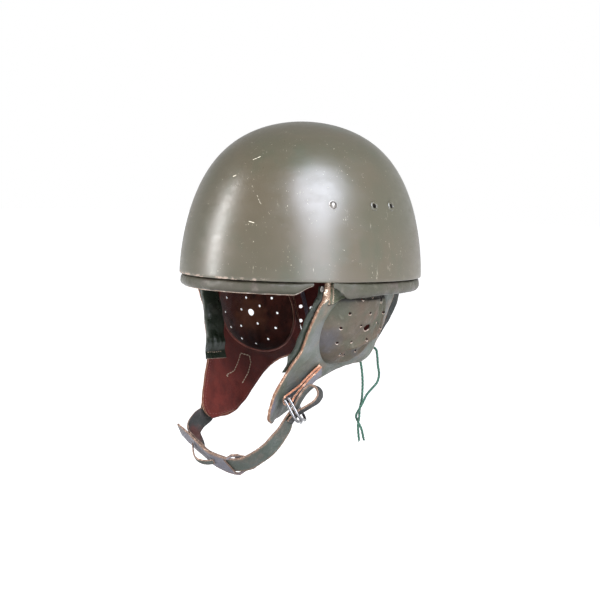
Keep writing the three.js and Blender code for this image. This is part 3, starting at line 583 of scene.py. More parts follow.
def flap_face(side, a, d):
    """The flap's outer face: flat below the hem, and flared up to the inside of the shell above it."""
    foot = flap_flat(side, a, np.maximum(d, HEM["start"]))
    scale = float(dome_scale(HEM["z"]))
    ratio = SHELL["half_length"] / SHELL["half_width"]
    half_width = SHELL["half_width"] * scale - SHELL["wall"] - HEM["room"]
    half_length = SHELL["half_length"] * scale - SHELL["wall"] * ratio - HEM["room"]
    reach = 1 / np.hypot(foot[..., 0] / half_width, foot[..., 1] / half_length)
    t = np.clip((HEM["start"] - d) / (HEM["start"] - HEM["down"]), 0, 1)
    flare = 1 + (reach - 1) * t**1.5
    z = foot[..., 2] + (HEM["z"] - foot[..., 2]) * t
    return np.stack([foot[..., 0] * flare, foot[..., 1] * flare, z], axis=-1)


def flap_normal(side, a, d):
    across = flap_face(side, a + 0.5, d) - flap_face(side, a - 0.5, d)
    below = flap_face(side, a, d + 0.5) - flap_face(side, a, d - 0.5)
    return unit(np.cross(below, across))


def flap_relief(side, a, d):
    """Soft buckles of the flap's leather."""
    seed = 1 if side == "left" else 2
    waves = 0.7 * ripple(a, d, 34, seed) + 0.25 * ripple(a, d, 13, seed + 10)
    return waves * smooth(np.hypot(a, d), 52, 62)


def flap_spot(side, a, d, lift=0.0):
    """A point over the flap's outer face; the right side is the mirror of the left."""
    a, d = np.broadcast_arrays(np.asarray(a, float), np.asarray(d, float))
    lift = np.asarray(lift, float) + flap_relief(side, a, d)
    spot = flap_face(side, a, d) + flap_normal(side, a, d) * lift[..., None]
    return spot * [1 if side == "left" else -1, 1, 1]


def rounded(edge, size=0.7):
    """How much a sheet's face drops near its edge, for a distance in from the edge."""
    t = 1 - np.clip(edge / size, 0, 1)
    return size * (1 - np.sqrt(1 - t * t * 0.9))


def flap_outline(count, margin=0.0):
    """Points of the flap's outline, evenly spaced, as along and down, corners rounded off."""
    front = [(f + margin, d) for d, f, r in FLAP_ROWS]
    rear = [(r - margin, d) for d, f, r in FLAP_ROWS[::-1]]
    corners = np.array(front + rear, float)
    corners[:, 1] = np.minimum(corners[:, 1], FLAP_ROWS[-1][0] - margin)
    fine = even(corners, 1200, closed=True)
    for _ in range(40):
        moved = (np.roll(fine, 1, 0) + np.roll(fine, -1, 0) + 2 * fine) / 4
        keep = smooth(-fine[:, 1], 55, 70)[:, None]
        fine = moved * (1 - keep) + fine * keep
    return even(fine, count, closed=True)


def camera_and_light():
    """The camera at the photograph's viewing angle, soft studio lights and the studio's walls as light."""
    camera = bpy.data.objects.new("camera", bpy.data.cameras.new("camera"))
    bpy.context.scene.collection.objects.link(camera)
    axes = [Vector(CAMERA[k]).normalized() for k in ("right", "up", "out")]
    turn = Matrix(axes).transposed().to_4x4()
    eye = (Vector(CAMERA["target"]) + axes[2] * CAMERA["distance"]) * MM
    camera.matrix_world = Matrix.Translation(eye) @ turn
    camera.data.lens = CAMERA["lens"]
    camera.data.sensor_width = CAMERA["sensor"]
    camera.data.clip_start, camera.data.clip_end = CAMERA["clip"]
    bpy.context.scene.camera = camera
    for name, azimuth, elevation, distance, width, height, power, colour in LIGHTS:
        light = bpy.data.objects.new(name, bpy.data.lights.new(name, "AREA"))
        bpy.context.scene.collection.objects.link(light)
        light.data.shape = "ELLIPSE"
        light.data.size, light.data.size_y, light.data.energy = width, height, power
        light.data.color = colour
        az, el = math.radians(azimuth), math.radians(elevation)
        out = Vector((math.sin(az) * math.cos(el), -math.cos(az) * math.cos(el), math.sin(el)))
        light.location = out * distance
        light.rotation_euler = out.to_track_quat("Z", "Y").to_euler()
    bpy.context.scene.view_settings.view_transform = "Standard"
    world = bpy.data.worlds.new("studio")
    bpy.context.scene.world = world
    world.use_nodes = True
    studio_walls(world.node_tree)


def tint(red, green, blue):
    """A colour given as display values from 0 to 255, as the shader reads it."""
    shares = [c / 255 for c in (red, green, blue)]
    return (*[s / 12.92 if s <= 0.04045 else ((s + 0.055) / 1.055) ** 2.4 for s in shares], 1)


class Nodes:
    """A node tree in the making."""

    def __init__(self, tree):
        self.tree = tree

    def put(self, socket, value):
        if isinstance(value, bpy.types.NodeSocket):
            self.tree.links.new(value, socket)
        else:
            socket.default_value = value

    def node(self, kind, inputs, out=0, **settings):
        made = self.tree.nodes.new("ShaderNode" + kind)
        for key, value in settings.items():
            setattr(made, key, value)
        for key, value in inputs.items():
            self.put(made.inputs[key], value)
        return made.outputs[out]

    def ramp(self, value, low, high, a=0.0, b=1.0):
        inputs = {"Value": value, "From Min": low, "From Max": high, "To Min": a, "To Max": b}
        return self.node("MapRange", inputs, interpolation_type="SMOOTHSTEP")

    def maths(self, operation, a, b=0.0):
        return self.node("Math", {0: a, 1: b}, operation=operation)

    def mix(self, share, a, b):
        return self.node("Mix", {0: share, 6: a, 7: b}, out=2, data_type="RGBA")


class Look(Nodes):
    """A procedural material in the making, on object coordinates in metres."""

    def __init__(self, name):
        self.material = bpy.data.materials.new(name)
        self.material.use_nodes = True
        super().__init__(self.material.node_tree)
        self.shader = self.tree.nodes["Principled BSDF"]
        self.place = self.node("TexCoord", {}, out="Object")

    def noise(self, scale, detail=3, rough=0.55, place=None, distortion=0.0):
        place = self.place if place is None else place
        fineness = {"Scale": scale, "Detail": detail, "Roughness": rough, "Distortion": distortion}
        return self.node("TexNoise", {"Vector": place, **fineness})

    def cells(self, scale):
        return self.node("TexVoronoi", {"Vector": self.place, "Scale": scale}, feature="SMOOTH_F1")

    def turned(self, stretch, turn=(0, 0, 0)):
        return self.node("Mapping", {"Vector": self.place, "Scale": stretch, "Rotation": turn})

    def bump(self, height, distance):
        return self.node("Bump", {"Height": height, "Distance": distance, "Strength": 1.0})

    def attribute(self, name):
        return self.node("Attribute", {}, out="Fac", attribute_name=name)

    def blob(self, centre, radius):
        """1 round a place given in millimetres, 0 away from it, with an uneven border."""
        reach = radius * MM
        gap = self.node("VectorMath", {0: self.place, 1: Vector(centre) * MM}, out=1, operation="DISTANCE")
        uneven = self.times(self.noise(110, 4), reach)
        return self.ramp(self.plus(gap, uneven), reach * 1.5, reach * 0.9)

    def axis(self, key):
        return self.node("SeparateXYZ", {0: self.place}, out=key)

    def wobble(self, scale, size):
        """A small random shift of places, by up to about a size in metres."""
        shift = self.node("TexNoise", {"Vector": self.place, "Scale": scale}, out=1)
        return self.node("VectorMath", {0: shift, 1: (size, size, size)}, operation="MULTIPLY")

    def most(self, *values):
        """The largest of several values."""
        return self.chained("MAXIMUM", values)

    def times(self, *values):
        return self.chained("MULTIPLY", values)

    def plus(self, *values):
        return self.chained("ADD", values)

    def chained(self, operation, values):
        total = values[0]
        for value in values[1:]:
            total = self.maths(operation, total, value)
        return total

    def patched_with_stains_and_light(self, name, colour, strength):
        """The colour with the material's stains, worn places, painted shade and painted light over it."""
        for centre, radius, tone in STAINS_AND_PAINTED_LIGHT.get(name, []):
            colour = self.mix(self.times(self.blob(centre, radius), strength), colour, tint(*tone))
        return colour

    def near_segment(self, start, end, width, wobble):
        """1 on a thin line between two places given in millimetres, 0 away from it."""
        a, b = Vector(start) * MM, Vector(end) * MM
        run = b - a
        moved = self.node("VectorMath", {0: self.place, 1: wobble}, operation="ADD")
        offset = self.node("VectorMath", {0: moved, 1: a}, operation="SUBTRACT")
        aim = run / run.length_squared
        dot = self.node("VectorMath", {0: offset, 1: aim}, out=1, operation="DOT_PRODUCT")
        share = self.node("Clamp", {0: dot})
        foot = self.node("VectorMath", {0: run, "Scale": share}, operation="SCALE")
        gap = self.node("VectorMath", {0: offset, 1: foot}, out=1, operation="DISTANCE")
        return self.ramp(gap, width * MM, width * MM * 0.3)

    def finish(self, colour, roughness, normal=None, **plain):
        self.put(self.shader.inputs["Base Color"], colour)
        self.put(self.shader.inputs["Roughness"], roughness)
        if normal is not None:
            self.put(self.shader.inputs["Normal"], normal)
        for key, value in plain.items():
            self.shader.inputs[key.replace("_", " ")].default_value = value
        return self.material


def studio_walls(tree):
    """White walls as the camera sees them, and a studio that is darker overhead for its light."""
    walls = Nodes(tree)
    shown = tree.nodes["Background"]
    walls.put(shown.inputs["Color"], (1, 1, 1, 1))
    walls.put(shown.inputs["Strength"], 1)
    place = walls.node("TexCoord", {}, out="Generated")
    height = walls.ramp(walls.node("SeparateXYZ", {0: place}, out="Z"), *WALLS["low_to_high"])
    rear = walls.ramp(walls.node("SeparateXYZ", {0: place}, out="Y"), *WALLS["front_to_rear"])
    light = {"Color": (*WALLS["colour"], 1), "Strength": walls.maths("MULTIPLY", height, rear)}
    lit = walls.node("Background", light)
    by_camera = walls.node("LightPath", {}, out="Is Camera Ray")
    chosen = walls.node("MixShader", {0: by_camera, 1: lit, 2: shown.outputs[0]})
    walls.put(tree.nodes["World Output"].inputs[0], chosen)


def paint_look(name, inside=False):
    """Satin olive paint with a fine orange peel, worn through in scratches, specks and a chipped rim."""
    look = Look(name)
    broad = look.ramp(look.noise(11, 4), 0.35, 0.68)
    colour = look.mix(broad, tint(70, 67, 52), tint(78, 70, 55))
    green = look.ramp(look.noise(26, 4, place=look.turned((1, 1, 0.6))), 0.52, 0.72)
    colour = look.mix(look.times(green, 0.5), colour, tint(62, 67, 51))
    fine = look.noise(900, 4)
    colour = look.mix(look.ramp(fine, 0.3, 0.7, 0.0, 0.16), colour, tint(70, 68, 50))
    smudge = look.noise(38, 6, 0.65, place=look.turned((1, 1, 2.6), (0.3, 0.2, 0)))
    rough = look.ramp(smudge, 0.3, 0.75, 0.27, 0.37)
    peel = look.noise(420, 2)
    height = look.plus(look.times(peel, 0.5), look.times(look.noise(60, 2), 1.0))
    if inside:
        dull = look.mix(0.6, colour, tint(40, 40, 32))
        return look.finish(dull, look.ramp(smudge, 0.3, 0.7, 0.6, 0.8), look.bump(height, 0.0001))
    specks = look.ramp(look.noise(520, 2, 0.7), 0.69, 0.74)
    patchy = look.ramp(look.noise(30, 3), 0.44, 0.62)
    scuff = look.ramp(look.noise(95, 5, 0.75, place=look.turned((1, 1, 0.22), (0.25, 0.1, 0.4))), 0.62, 0.7)
    low = look.ramp(look.axis("Z"), 0.105, 0.03)
    pale = look.times(specks, patchy)
    pale = look.most(pale, look.times(scuff, patchy, low))
    wobble = look.wobble(240, 0.0016)
    lines = {"pale": [pale], "dark": []}
    for start, end, width, kind in SCRATCHES:
        lines[kind].append(look.near_segment(start, end, width * SCRATCH_WIDTH, wobble))
    pale, dark = look.most(*lines["pale"]), look.most(*lines["dark"])
    colour = look.mix(look.times(pale, 0.85), colour, tint(208, 200, 176))
    colour = look.mix(look.times(dark, 0.6), colour, tint(70, 66, 52))
    rim = look.ramp(look.axis("Z"), 0.0036, 0.0012)
    front = look.ramp(look.axis("Y"), -0.108, -0.13)
    chips = look.ramp(look.noise(210, 4, 0.7, place=look.turned((1, 1, 1.6))), 0.5, 0.56)
    chipped = look.times(rim, front, chips)
    colour = look.mix(look.times(chipped, 0.55), colour, tint(196, 172, 156))
    height = look.maths("SUBTRACT", height, look.times(look.most(pale, chipped), 0.8))
    marks = look.most(pale, chipped, dark)
    brushed = look.noise(330, 4, 0.7, place=look.turned((1, 0.18, 1), (0.2, 0.1, 0.7)))
    rough = look.plus(rough, look.ramp(brushed, 0.3, 0.75, 0.0, 0.05))
    rough = look.plus(rough, look.times(marks, 0.45))
    return look.finish(colour, rough, look.bump(height, 0.00006), Specular_IOR_Level=0.75)


def leather_look(name, main, second, third, rough, grain, crease, shine, worn_edge):
    """Finished leather: small rounded grain, creases, patches of colour and a paler worn edge, with painted
    shadow in its creases and crevices where the tables give it.
    """
    look = Look(name)
    patch = look.ramp(look.noise(24, 4, 0.6), 0.38, 0.64)
    colour = look.mix(patch, tint(*main), tint(*second))
    other = look.ramp(look.noise(41, 5, 0.65, place=look.turned((1, 1.2, 0.8), (0.7, 0.2, 0.5))), 0.5, 0.68)
    colour = look.mix(other, colour, tint(*third))
    colour = look.patched_with_stains_and_light(name, colour, 0.8)
    # Painted shadow: dark lines along the creases and folds
    for start, end, width in CREASE_SHADOWS.get(name, []):
        line = look.near_segment(start, end, width, look.wobble(90, 0.003))
        colour = look.mix(look.times(line, 0.7), colour, tint(22, 20, 20))
    # Painted shadow: the leather darkened towards its top, where the rear roll shades it
    if name in CREVICE_SHADOWS:
        low, high = CREVICE_SHADOWS[name]
        uneven = look.times(look.noise(90, 3), 0.0016)
        shade = look.ramp(look.plus(look.axis("Z"), uneven), low, high)
        colour = look.mix(look.times(shade, 0.85), colour, tint(16, 14, 12))
    pores = look.cells(grain)
    colour = look.mix(look.ramp(pores, 0.35, 0.75, 0.0, 0.28), colour, tint(35, 35, 28))
    folds = look.noise(crease, 6, 0.62, distortion=0.4)
    colour = look.mix(look.ramp(folds, 0.56, 0.74, 0.0, 0.14), colour, tint(165, 158, 142))
    if worn_edge:
        edge = look.attribute("edge")
        worn = look.times(edge, look.ramp(look.noise(420, 4, 0.7), 0.35, 0.6))
        colour = look.mix(worn, colour, tint(*BROWN_WEAR))
    height = look.maths("SUBTRACT", look.times(folds, 2.2), look.times(pores, 0.5))
    roughness = look.ramp(look.noise(60, 4), 0.3, 0.7, rough - 0.07, rough + 0.12)
    return look.finish(colour, roughness, look.bump(height, 0.00035), Specular_IOR_Level=shine)


def suede_look(name, main, dark, pale):
    """Brushed suede: a short nap with darker and paler strokes and a soft sheen."""
    look = Look(name)
    main, dark, pale = (tint(*tone) for tone in (main, dark, pale))
    strokes = look.noise(55, 5, 0.7, place=look.turned((1, 1.3, 0.55), (0.5, 0.1, 0.3)))
    colour = look.mix(look.ramp(strokes, 0.33, 0.62), dark, main)
    colour = look.patched_with_stains_and_light(name, colour, 0.7)
    nap = look.noise(1500, 4, 0.75)
    colour = look.mix(look.ramp(nap, 0.42, 0.75, 0.0, 0.5), colour, pale)
    worn = look.ramp(look.noise(19, 3), 0.52, 0.7, 0.0, 0.35)
    colour = look.mix(worn, colour, pale)
    height = look.plus(nap, look.times(strokes, 1.4))
    sheen = {"Sheen_Weight": 0.35, "Sheen_Roughness": 0.45, "Specular_IOR_Level": 0.2}
    return look.finish(colour, look.ramp(nap, 0.2, 0.8, 0.86, 0.98), look.bump(height, 0.00045), **sheen)


def raw_edge_look(name, main, dark, pale):
    """Cut leather edge: split fibres and layers."""
    look = Look(name)
    main, dark, pale = (tint(*tone) for tone in (main, dark, pale))
    fibres = look.noise(700, 6, 0.75, place=look.turned((1, 1, 1.7), (0.4, 0.6, 0.2)))
    colour = look.mix(look.ramp(fibres, 0.32, 0.68), dark, main)
    tufts = look.ramp(look.noise(230, 3, 0.6), 0.5, 0.66)
    colour = look.mix(tufts, colour, pale)
    height = look.plus(fibres, look.times(tufts, 0.6))
    return look.finish(colour, look.ramp(fibres, 0.3, 0.7, 0.75, 0.95), look.bump(height, 0.0006))


def steel_look(name, tone, rough):
    """Plated steel wire with drawn lines, small pits and a little dirt."""
    look = Look(name)
    lines = look.noise(1400, 3, place=look.turned((1, 1, 0.12), (0.6, 0.4, 0.1)))
    grime = look.ramp(look.noise(260, 5, 0.7), 0.5, 0.72)
    colour = look.mix(look.times(grime, 0.6), tint(*tone), tint(95, 88, 76))
    roughness = look.ramp(look.plus(lines, look.times(grime, 0.5)), 0.3, 1.1, rough, rough + 0.3)
    return look.finish(colour, roughness, look.bump(lines, 0.00006), Metallic=0.95)


def fibre_look(name, main, dark, pale, scale):
    """Twisted or woven yarn: fine strands in three tones."""
    look = Look(name)
    main, dark, pale = (tint(*tone) for tone in (main, dark, pale))
    strands = look.noise(scale, 5, 0.7, place=look.turned((1, 1, 0.5), (0.5, 0.3, 0.8)))
    colour = look.mix(look.ramp(strands, 0.35, 0.62), dark, main)
    colour = look.mix(look.ramp(look.noise(scale * 0.37, 4, 0.7), 0.52, 0.72, 0.0, 0.7), colour, pale)
    sheen = {"Sheen_Weight": 0.25, "Specular_IOR_Level": 0.3}
    return look.finish(colour, look.ramp(strands, 0.3, 0.7, 0.75, 0.95), look.bump(strands, 0.0003), **sheen)


def floor_look(name):
    """Pale matt studio floor with the faintest mottling, glowing as painted light away from its middle and
    darkened near it as a painted shadow under the helmet.
    """
    look = Look(name)
    tone = look.mix(look.ramp(look.noise(3, 3), 0.3, 0.7), tint(250, 250, 250), tint(246, 246, 246))
    level = look.turned((1, 1, 0))
    reach = look.node("VectorMath", {0: level}, out=1, operation="LENGTH")
    # Painted shadow under the helmet: no glow and a darker tone near the middle, painted glow further out
    beyond_painted_shadow = look.ramp(reach, FLOOR["near"], FLOOR["far"])
    look.put(look.shader.inputs["Emission Color"], look.mix(beyond_painted_shadow, (0, 0, 0, 1), (1, 1, 1, 1)))
    shade = FLOOR["shade"]
    tone = look.mix(beyond_painted_shadow, (shade, shade, shade, 1), tone)
    return look.finish(tone, 0.9, Emission_Strength=FLOOR["glow"])


def shell(paint, inside):
    """The dome's outside, rounded rim and inside, turned about the axis, with holes for its fittings."""
    segments = SHELL_MESH["around"]
    angles = np.linspace(math.radians(SHELL_MESH["first_angle"]), 0, SHELL_MESH["rows"])
    heights = [SHELL["height"] * math.sin(t) for t in angles]
    outer = [(float(dome_scale(z)), z) for z in heights]
    narrow = (SHELL["half_width"] - SHELL["wall"]) / SHELL["half_width"]
    lower = (SHELL["height"] - SHELL["wall"]) / SHELL["height"]
    inner = [(f * narrow, z * lower) for f, z in outer[::-1]]
    middle, half = (1 + narrow) / 2, (1 - narrow) / 2
    level, drop = SHELL_MESH["rim_middle"], SHELL_MESH["rim_drop"]
    turned = np.linspace(0, math.pi, SHELL_MESH["rim_rows"])
    rim = [(middle + half * math.cos(t), level - drop * math.sin(t)) for t in turned]
    profile = outer[:-1] + rim + inner[1:]
    turn = np.linspace(0, 2 * math.pi, segments, endpoint=False)
    around = np.stack([SHELL["half_width"] * np.sin(turn), -SHELL["half_length"] * np.cos(turn)], axis=1)
    sections = np.array([[(x * f, y * f, z) for x, y in around] for f, z in profile])
    sections[:, :, 2] = np.maximum(sections[:, :, 2], 0)
    points, faces = rings(sections)
    zones = np.zeros(len(faces))
    zones[: len(faces) - 2 * segments].reshape(len(profile) - 1, segments)[len(outer) + 7 :] = 1
    zones[-segments:] = 1
    made = piece("shell_dome", points, faces, [paint, inside], zones)
    tools = []
    for side in (1, -1):
        for y, kind in [(RIVET_Y, "rivet"), (VENT_Y["front"], "vent"), (VENT_Y["rear"], "vent")]:
            spot, normal = shell_spot(y, FITTING_Z, side)
            tools.append((spot, normal, FITTING_HOLES[kind], FITTING_HOLES["depth"]))
    pierce(made, tools, 40, zone=1)
    return dress(made, "shell_paint", "shell")


def pierce(made, tools, sides, zone):
    """Cuts round holes through a piece, each from a centre, an axis, a radius and a length."""
    bodies = []
    for centre, axis, radius, length in tools:
        reach = unit(axis) * length / 2
        bodies.append(rings(tube_sections(np.array([centre - reach, centre + reach]), radius, sides)))
    cut_out(made, *pooled(bodies), zone)


def cut_out(made, points, faces, zone):
    """Cuts closed bodies out of a piece; the cut faces take one of its materials."""
    cutter = piece("cutter", points, faces, [], np.full(len(faces), zone), flip=False)
    modifier = made.modifiers.new("cut", "BOOLEAN")
    modifier.operation, modifier.solver, modifier.object = "DIFFERENCE", "EXACT", cutter
    applied(made)
    bpy.data.objects.remove(cutter)
    made.data.set_sharp_from_angle(angle=SHARP_ANGLE)


def applied(made):
    """The piece with its modifiers made real."""
    bpy.context.view_layer.update()
    graph = bpy.context.evaluated_depsgraph_get()
    mesh = bpy.data.meshes.new_from_object(made.evaluated_get(graph))
    made.modifiers.clear()
    old, made.data = made.data, mesh
    bpy.data.meshes.remove(old)
    return made


def turned_fitting(name, profile, y, side, materials, count=48, bore=0):
    """A turned fitting in the shell's wall from a closed profile of radius and height over the outside."""
    spot, normal = shell_spot(y, FITTING_Z, side)
    a = unit(np.cross(normal, [0, 0, 1]))
    b = np.cross(normal, a)
    angle = np.linspace(0, 2 * math.pi, count, endpoint=False)
    ring = np.cos(angle)[:, None] * a + np.sin(angle)[:, None] * b
    sections = np.array([spot + ring * r + normal * h for r, h in profile])
    points, faces = rings(sections, closed=profile[0] != profile[-1] and profile[0][0] > 0.5)
    zones = np.zeros(len(faces))
    rows = np.array([r for r, _ in profile])
    inner = np.flatnonzero((rows < bore) & (np.roll(rows, -1) < bore))
    for row in inner:
        zones[row * count : (row + 1) * count] = 1
    return piece(name, points, faces, materials, zones, sharp=math.radians(50))


def fittings(paint, steel, hole):
    dome = [(0.15, 2.3), (1.2, 2.2), (2.3, 1.9), (3.2, 1.35), (3.8, 0.7), (4.1, 0.15)]
    rivet = dome + [(4.6, 0.05), (4.7, -0.2), (2, -0.2), (2, -5), (4.2, -5), (4, -6), (0.15, -6)]
    lip = [(2.3, -0.4), (2.4, 0.35), (2.8, 0.95), (3.4, 1.3), (4.1, 1.25), (4.9, 0.8)]
    eyelet = lip + [(5.5, 0.15), (5.7, -0.3), (4.1, -0.3), (4.1, -5), (5.3, -5), (5.3, -5.7), (2.3, -5.7)]
    for side, label in ((1, "left"), (-1, "right")):
        made = turned_fitting(f"rivet_{label}_dome", rivet, RIVET_Y, side, [steel])
        dress(made, "steel", f"rivet_{label}")
        for place, y in VENT_Y.items():
            made = turned_fitting(f"vent_{label}_{place}_lip", eyelet, y, side, [paint, hole], bore=2.45)
            dress(made, "shell_paint", f"vent_eyelet_{label}_{place}")


def rim_spot(degrees):
    """Points of the rim's ellipse at angles from the front, with their outward normals in plan."""
    angle = np.radians(degrees)
    x, y = SHELL["half_width"] * np.sin(angle), -SHELL["half_length"] * np.cos(angle)
    normal = unit(np.stack([x / SHELL["half_width"] ** 2, y / SHELL["half_length"] ** 2, 0 * x], axis=-1))
    return np.stack([x, y, 0 * x], axis=-1), normal


def roll_width(degrees, front):
    if front:
        return np.full(len(degrees), float(ROLL["width"]))
    from_flap = np.minimum(degrees - ROLL_REAR_START, 360 - ROLL_REAR_START - degrees)
    narrow = ROLL_REAR["narrow"]
    sides = narrow + (1 - narrow) * smooth(from_flap, 0, ROLL_REAR["widening"])
    share = ROLL_NAPE["share"]
    back = share + (1 - share) * smooth(np.abs(degrees - 180), 0, ROLL_NAPE["reach"])
    return ROLL["width"] * sides * back


def roll_height(degrees, front):
    if front:
        return np.full(len(degrees), float(ROLL["height"]))
    from_flap = np.minimum(degrees - ROLL_REAR_START, 360 - ROLL_REAR_START - degrees)
    return ROLL_REAR["height"] + ROLL_REAR["drop"] * (1 - smooth(from_flap, 0, ROLL_REAR["drop_fade"]))


def roll_size(degrees, start, end):
    to_end = np.minimum(degrees - start, end - degrees)
    return ROLL["tip"] + (1 - ROLL["tip"]) * smooth(to_end, 0, ROLL["taper"])


def rim_roll(name, start, end, stations, front, material, node):
    """Padded edging under the rim: a soft tube with slight buckles across it."""
    degrees = np.linspace(start, end, stations)
    size = roll_size(degrees, start, end)
    width, height = roll_width(degrees, front) * size, roll_height(degrees, front) * size
    spot, normal = rim_spot(degrees)
    angle = np.linspace(0, 2 * math.pi, 30, endpoint=False)
    c, s = (np.sign(f(angle)) * np.abs(f(angle)) ** ROLL["squareness"] for f in (np.cos, np.sin))
    inward = ROLL["inset"] + width[:, None] / 2 * (1 - c)
    z = -ROLL["gap"] - height[:, None] / 2 * (1 - s)
    along, round_it = np.meshgrid(degrees * 2.3, angle * 6, indexing="ij")
    buckle = 0.3 * ripple(along, round_it, 24, 21) + 0.14 * ripple(along * 1.5, round_it * 0.5, 15, 22)
    buckle *= smooth(np.broadcast_to(size[:, None], buckle.shape), 0.3, 1)
    inward = inward + buckle * c - 0.1
    z = np.minimum(z - buckle * s, -0.15)
    sections = spot[:, None] - normal[:, None] * inward[..., None]
    sections[:, :, 2] = z
    points, faces = rings(sections)
    made = piece(name, points, faces, [material])
    held = np.broadcast_to((s > 0.75)[None] | (size < 0.9)[:, None], buckle.shape).ravel()
    puffed(made, np.concatenate([held, [True, True]]), ROLL_SWELL)
    dress(made, "roll_leather", node)
    return made


def puffed(made, held, cap):
    """The padded piece swollen by a short cloth simulation; held points stay, the cap limits every move."""
    scene = bpy.context.scene
    count = len(made.data.vertices)
    before = np.empty(count * 3, np.float32)
    made.data.vertices.foreach_get("co", before)
    group = made.vertex_groups.new(name="sewn")
    group.add(np.flatnonzero(held).tolist(), 1.0, "REPLACE")
    modifier = made.modifiers.new("cloth", "CLOTH")
    cloth = modifier.settings
    cloth.quality = CLOTH["quality"]
    cloth.vertex_group_mass = "sewn"
    cloth.use_pressure = True
    cloth.uniform_pressure_force = CLOTH["pressure"]
    cloth.effector_weights.gravity = 0
    modifier.collision_settings.use_collision = False
    for step in range(1, CLOTH["frames"] + 1):
        scene.frame_set(step)
    settled = made.evaluated_get(bpy.context.evaluated_depsgraph_get())
    after = np.empty(count * 3, np.float32)
    settled.to_mesh().vertices.foreach_get("co", after)
    settled.to_mesh_clear()
    made.modifiers.clear()
    made.vertex_groups.clear()
    scene.frame_set(1)
    move = (after - before).reshape(-1, 3)
    length = np.linalg.norm(move, axis=1)
    print("swollen", made.name, "by mm:", round(length.mean() / MM, 2), "most", round(length.max() / MM, 2))
    limit = cap * MM
    move *= (limit * np.tanh(length / limit) / np.maximum(length, 1e-9))[:, None]
    made.data.vertices.foreach_set("co", before + move.ravel())
    made.data.update()


def roll_welt(material):
    """Thin turned edge along the bottom of the front roll, running up at its left end."""
    degrees = np.linspace(-ROLL_FRONT_END + 0.6, ROLL_FRONT_END - 0.6, 240)
    size = roll_size(degrees, -ROLL_FRONT_END, ROLL_FRONT_END)
    spot, normal = rim_spot(degrees)
    inward = ROLL["inset"] + ROLL["width"] * size * 0.46
    line = spot - normal * inward[:, None]
    line[:, 2] = -ROLL["gap"] - ROLL["height"] * size * 0.985 + 0.15 * ripple(degrees, 0 * degrees, 6, 25)
    points, faces = rings(tube_sections(line, 0.75 * (0.5 + 0.5 * size), 10))
    return dress(piece("rim_roll_front_welt", points, faces, [material]), "roll_leather")


def flap_grid(side, count, hole, margin, edge_lift, hole_lift, rows=24):
    """A flap's layer as a grid from the round hole out to the outline: returns points for a lift."""
    outline = flap_outline(count, margin)
    length = np.hypot(*outline.T)
    aim = outline / length[:, None]
    turn = np.unwrap(np.arctan2(aim[:, 1], aim[:, 0]))
    jitter = 0.18 * ripple(turn * 60, 0 * turn, 2.2, 31) if margin == 0 else 0
    length = length + jitter
    edges = np.array([2.6, 1.6, 0.9, 0.45, 0.15, 0])
    reach = np.linspace(0, 1, rows)[:, None] ** 1.15 * (length - hole - edges[0])[None]
    radius = np.vstack([hole + reach, length[None] - edges[1:, None]])
    a, d = radius * aim[:, 0], radius * aim[:, 1]
    to_edge = length[None] - radius

    def at(lift, sign):
        rim = rounded(to_edge, 0.6) * edge_lift * sign
        dip = hole_lift * (1 - smooth(radius, hole, hole + 3.6))
        return flap_spot(side, a, d, lift - rim - dip)

    made_edge = smooth(-to_edge, -2.2, -0.1)
    return at, made_edge


def mark_edge(made, shares):
    """Keeps how near the cut edge each point is, for the material's wear."""
    values = np.zeros(len(made.data.vertices), np.float32)
    values[: len(shares)] = shares
    attribute = made.data.attributes.new("edge", "FLOAT", "POINT")
    attribute.data.foreach_set("value", values)


def ear_flap(side, leather, suede, raw):
    at, edge = flap_grid(side, 300, FLAP_HOLE["leather"], 0, 1, 2.0)
    made = layer(f"ear_flap_{side}_leather", at(0, 1), at(-LEATHER, -0.6), [leather, suede, raw], wrap=True)
    mark_edge(made, np.concatenate([edge.ravel(), edge.ravel()]))
    dress(made, "flap_leather", f"ear_flap_{side}")
    at, edge = flap_grid(side, 260, FLAP_HOLE["lining"], 0.8, 1, 0.0, rows=20)
    top = -LEATHER - GAP
    made = layer(f"lining_{side}_suede", at(top, 0.3), at(top - SUEDE, -1), [suede, suede, raw], wrap=True)
    mark_edge(made, np.concatenate([edge.ravel(), edge.ravel()]))
    dress(made, "suede", f"lining_{side}")


def cup_dents(side, a, d):
    """How far the ear cup's leather sinks and ripples off its round form."""
    r = np.hypot(a, d) / CUP["radius"]
    inside = 1 - smooth(r, 0.78, 1)
    waves = DENTS["wave"] * ripple(a, d, 26, 41 if side == "left" else 42)
    waves = waves + DENTS["ripple"] * ripple(a, d, 9, 43)
    if side == "right":
        return waves * inside
    across = 0.28 * a + 0.96 * (d - DENTS["down"])
    along = 0.96 * a - 0.28 * (d - DENTS["down"])
    window = smooth(along, -20, -2) * (1 - smooth(along, 36, 52))
    pocket = -DENTS["pocket"] * smooth(across, -0.5, 2.6) * (1 - smooth(across, 8, 22)) * window
    ridge = DENTS["ridge"] * np.exp(-((across + 2.5) / 3.0) ** 2) * window
    low = -DENTS["low"] * np.exp(-((across - 17) / 3.5) ** 2)
    low = low * smooth(along, -30, -10) * (1 - smooth(along, 20, 40))
    rear = DENTS["rear"] * np.sin((a * 0.9 - d * 0.12) * 0.62) * smooth(a, 12, 30) * (1 - smooth(d, 0, 18))
    flat = -DENTS["flat"] * np.exp(-(((a + 4) / 16) ** 2 + ((d - 4) / 12) ** 2))
    return (waves + pocket + ridge + low + rear + flat) * inside


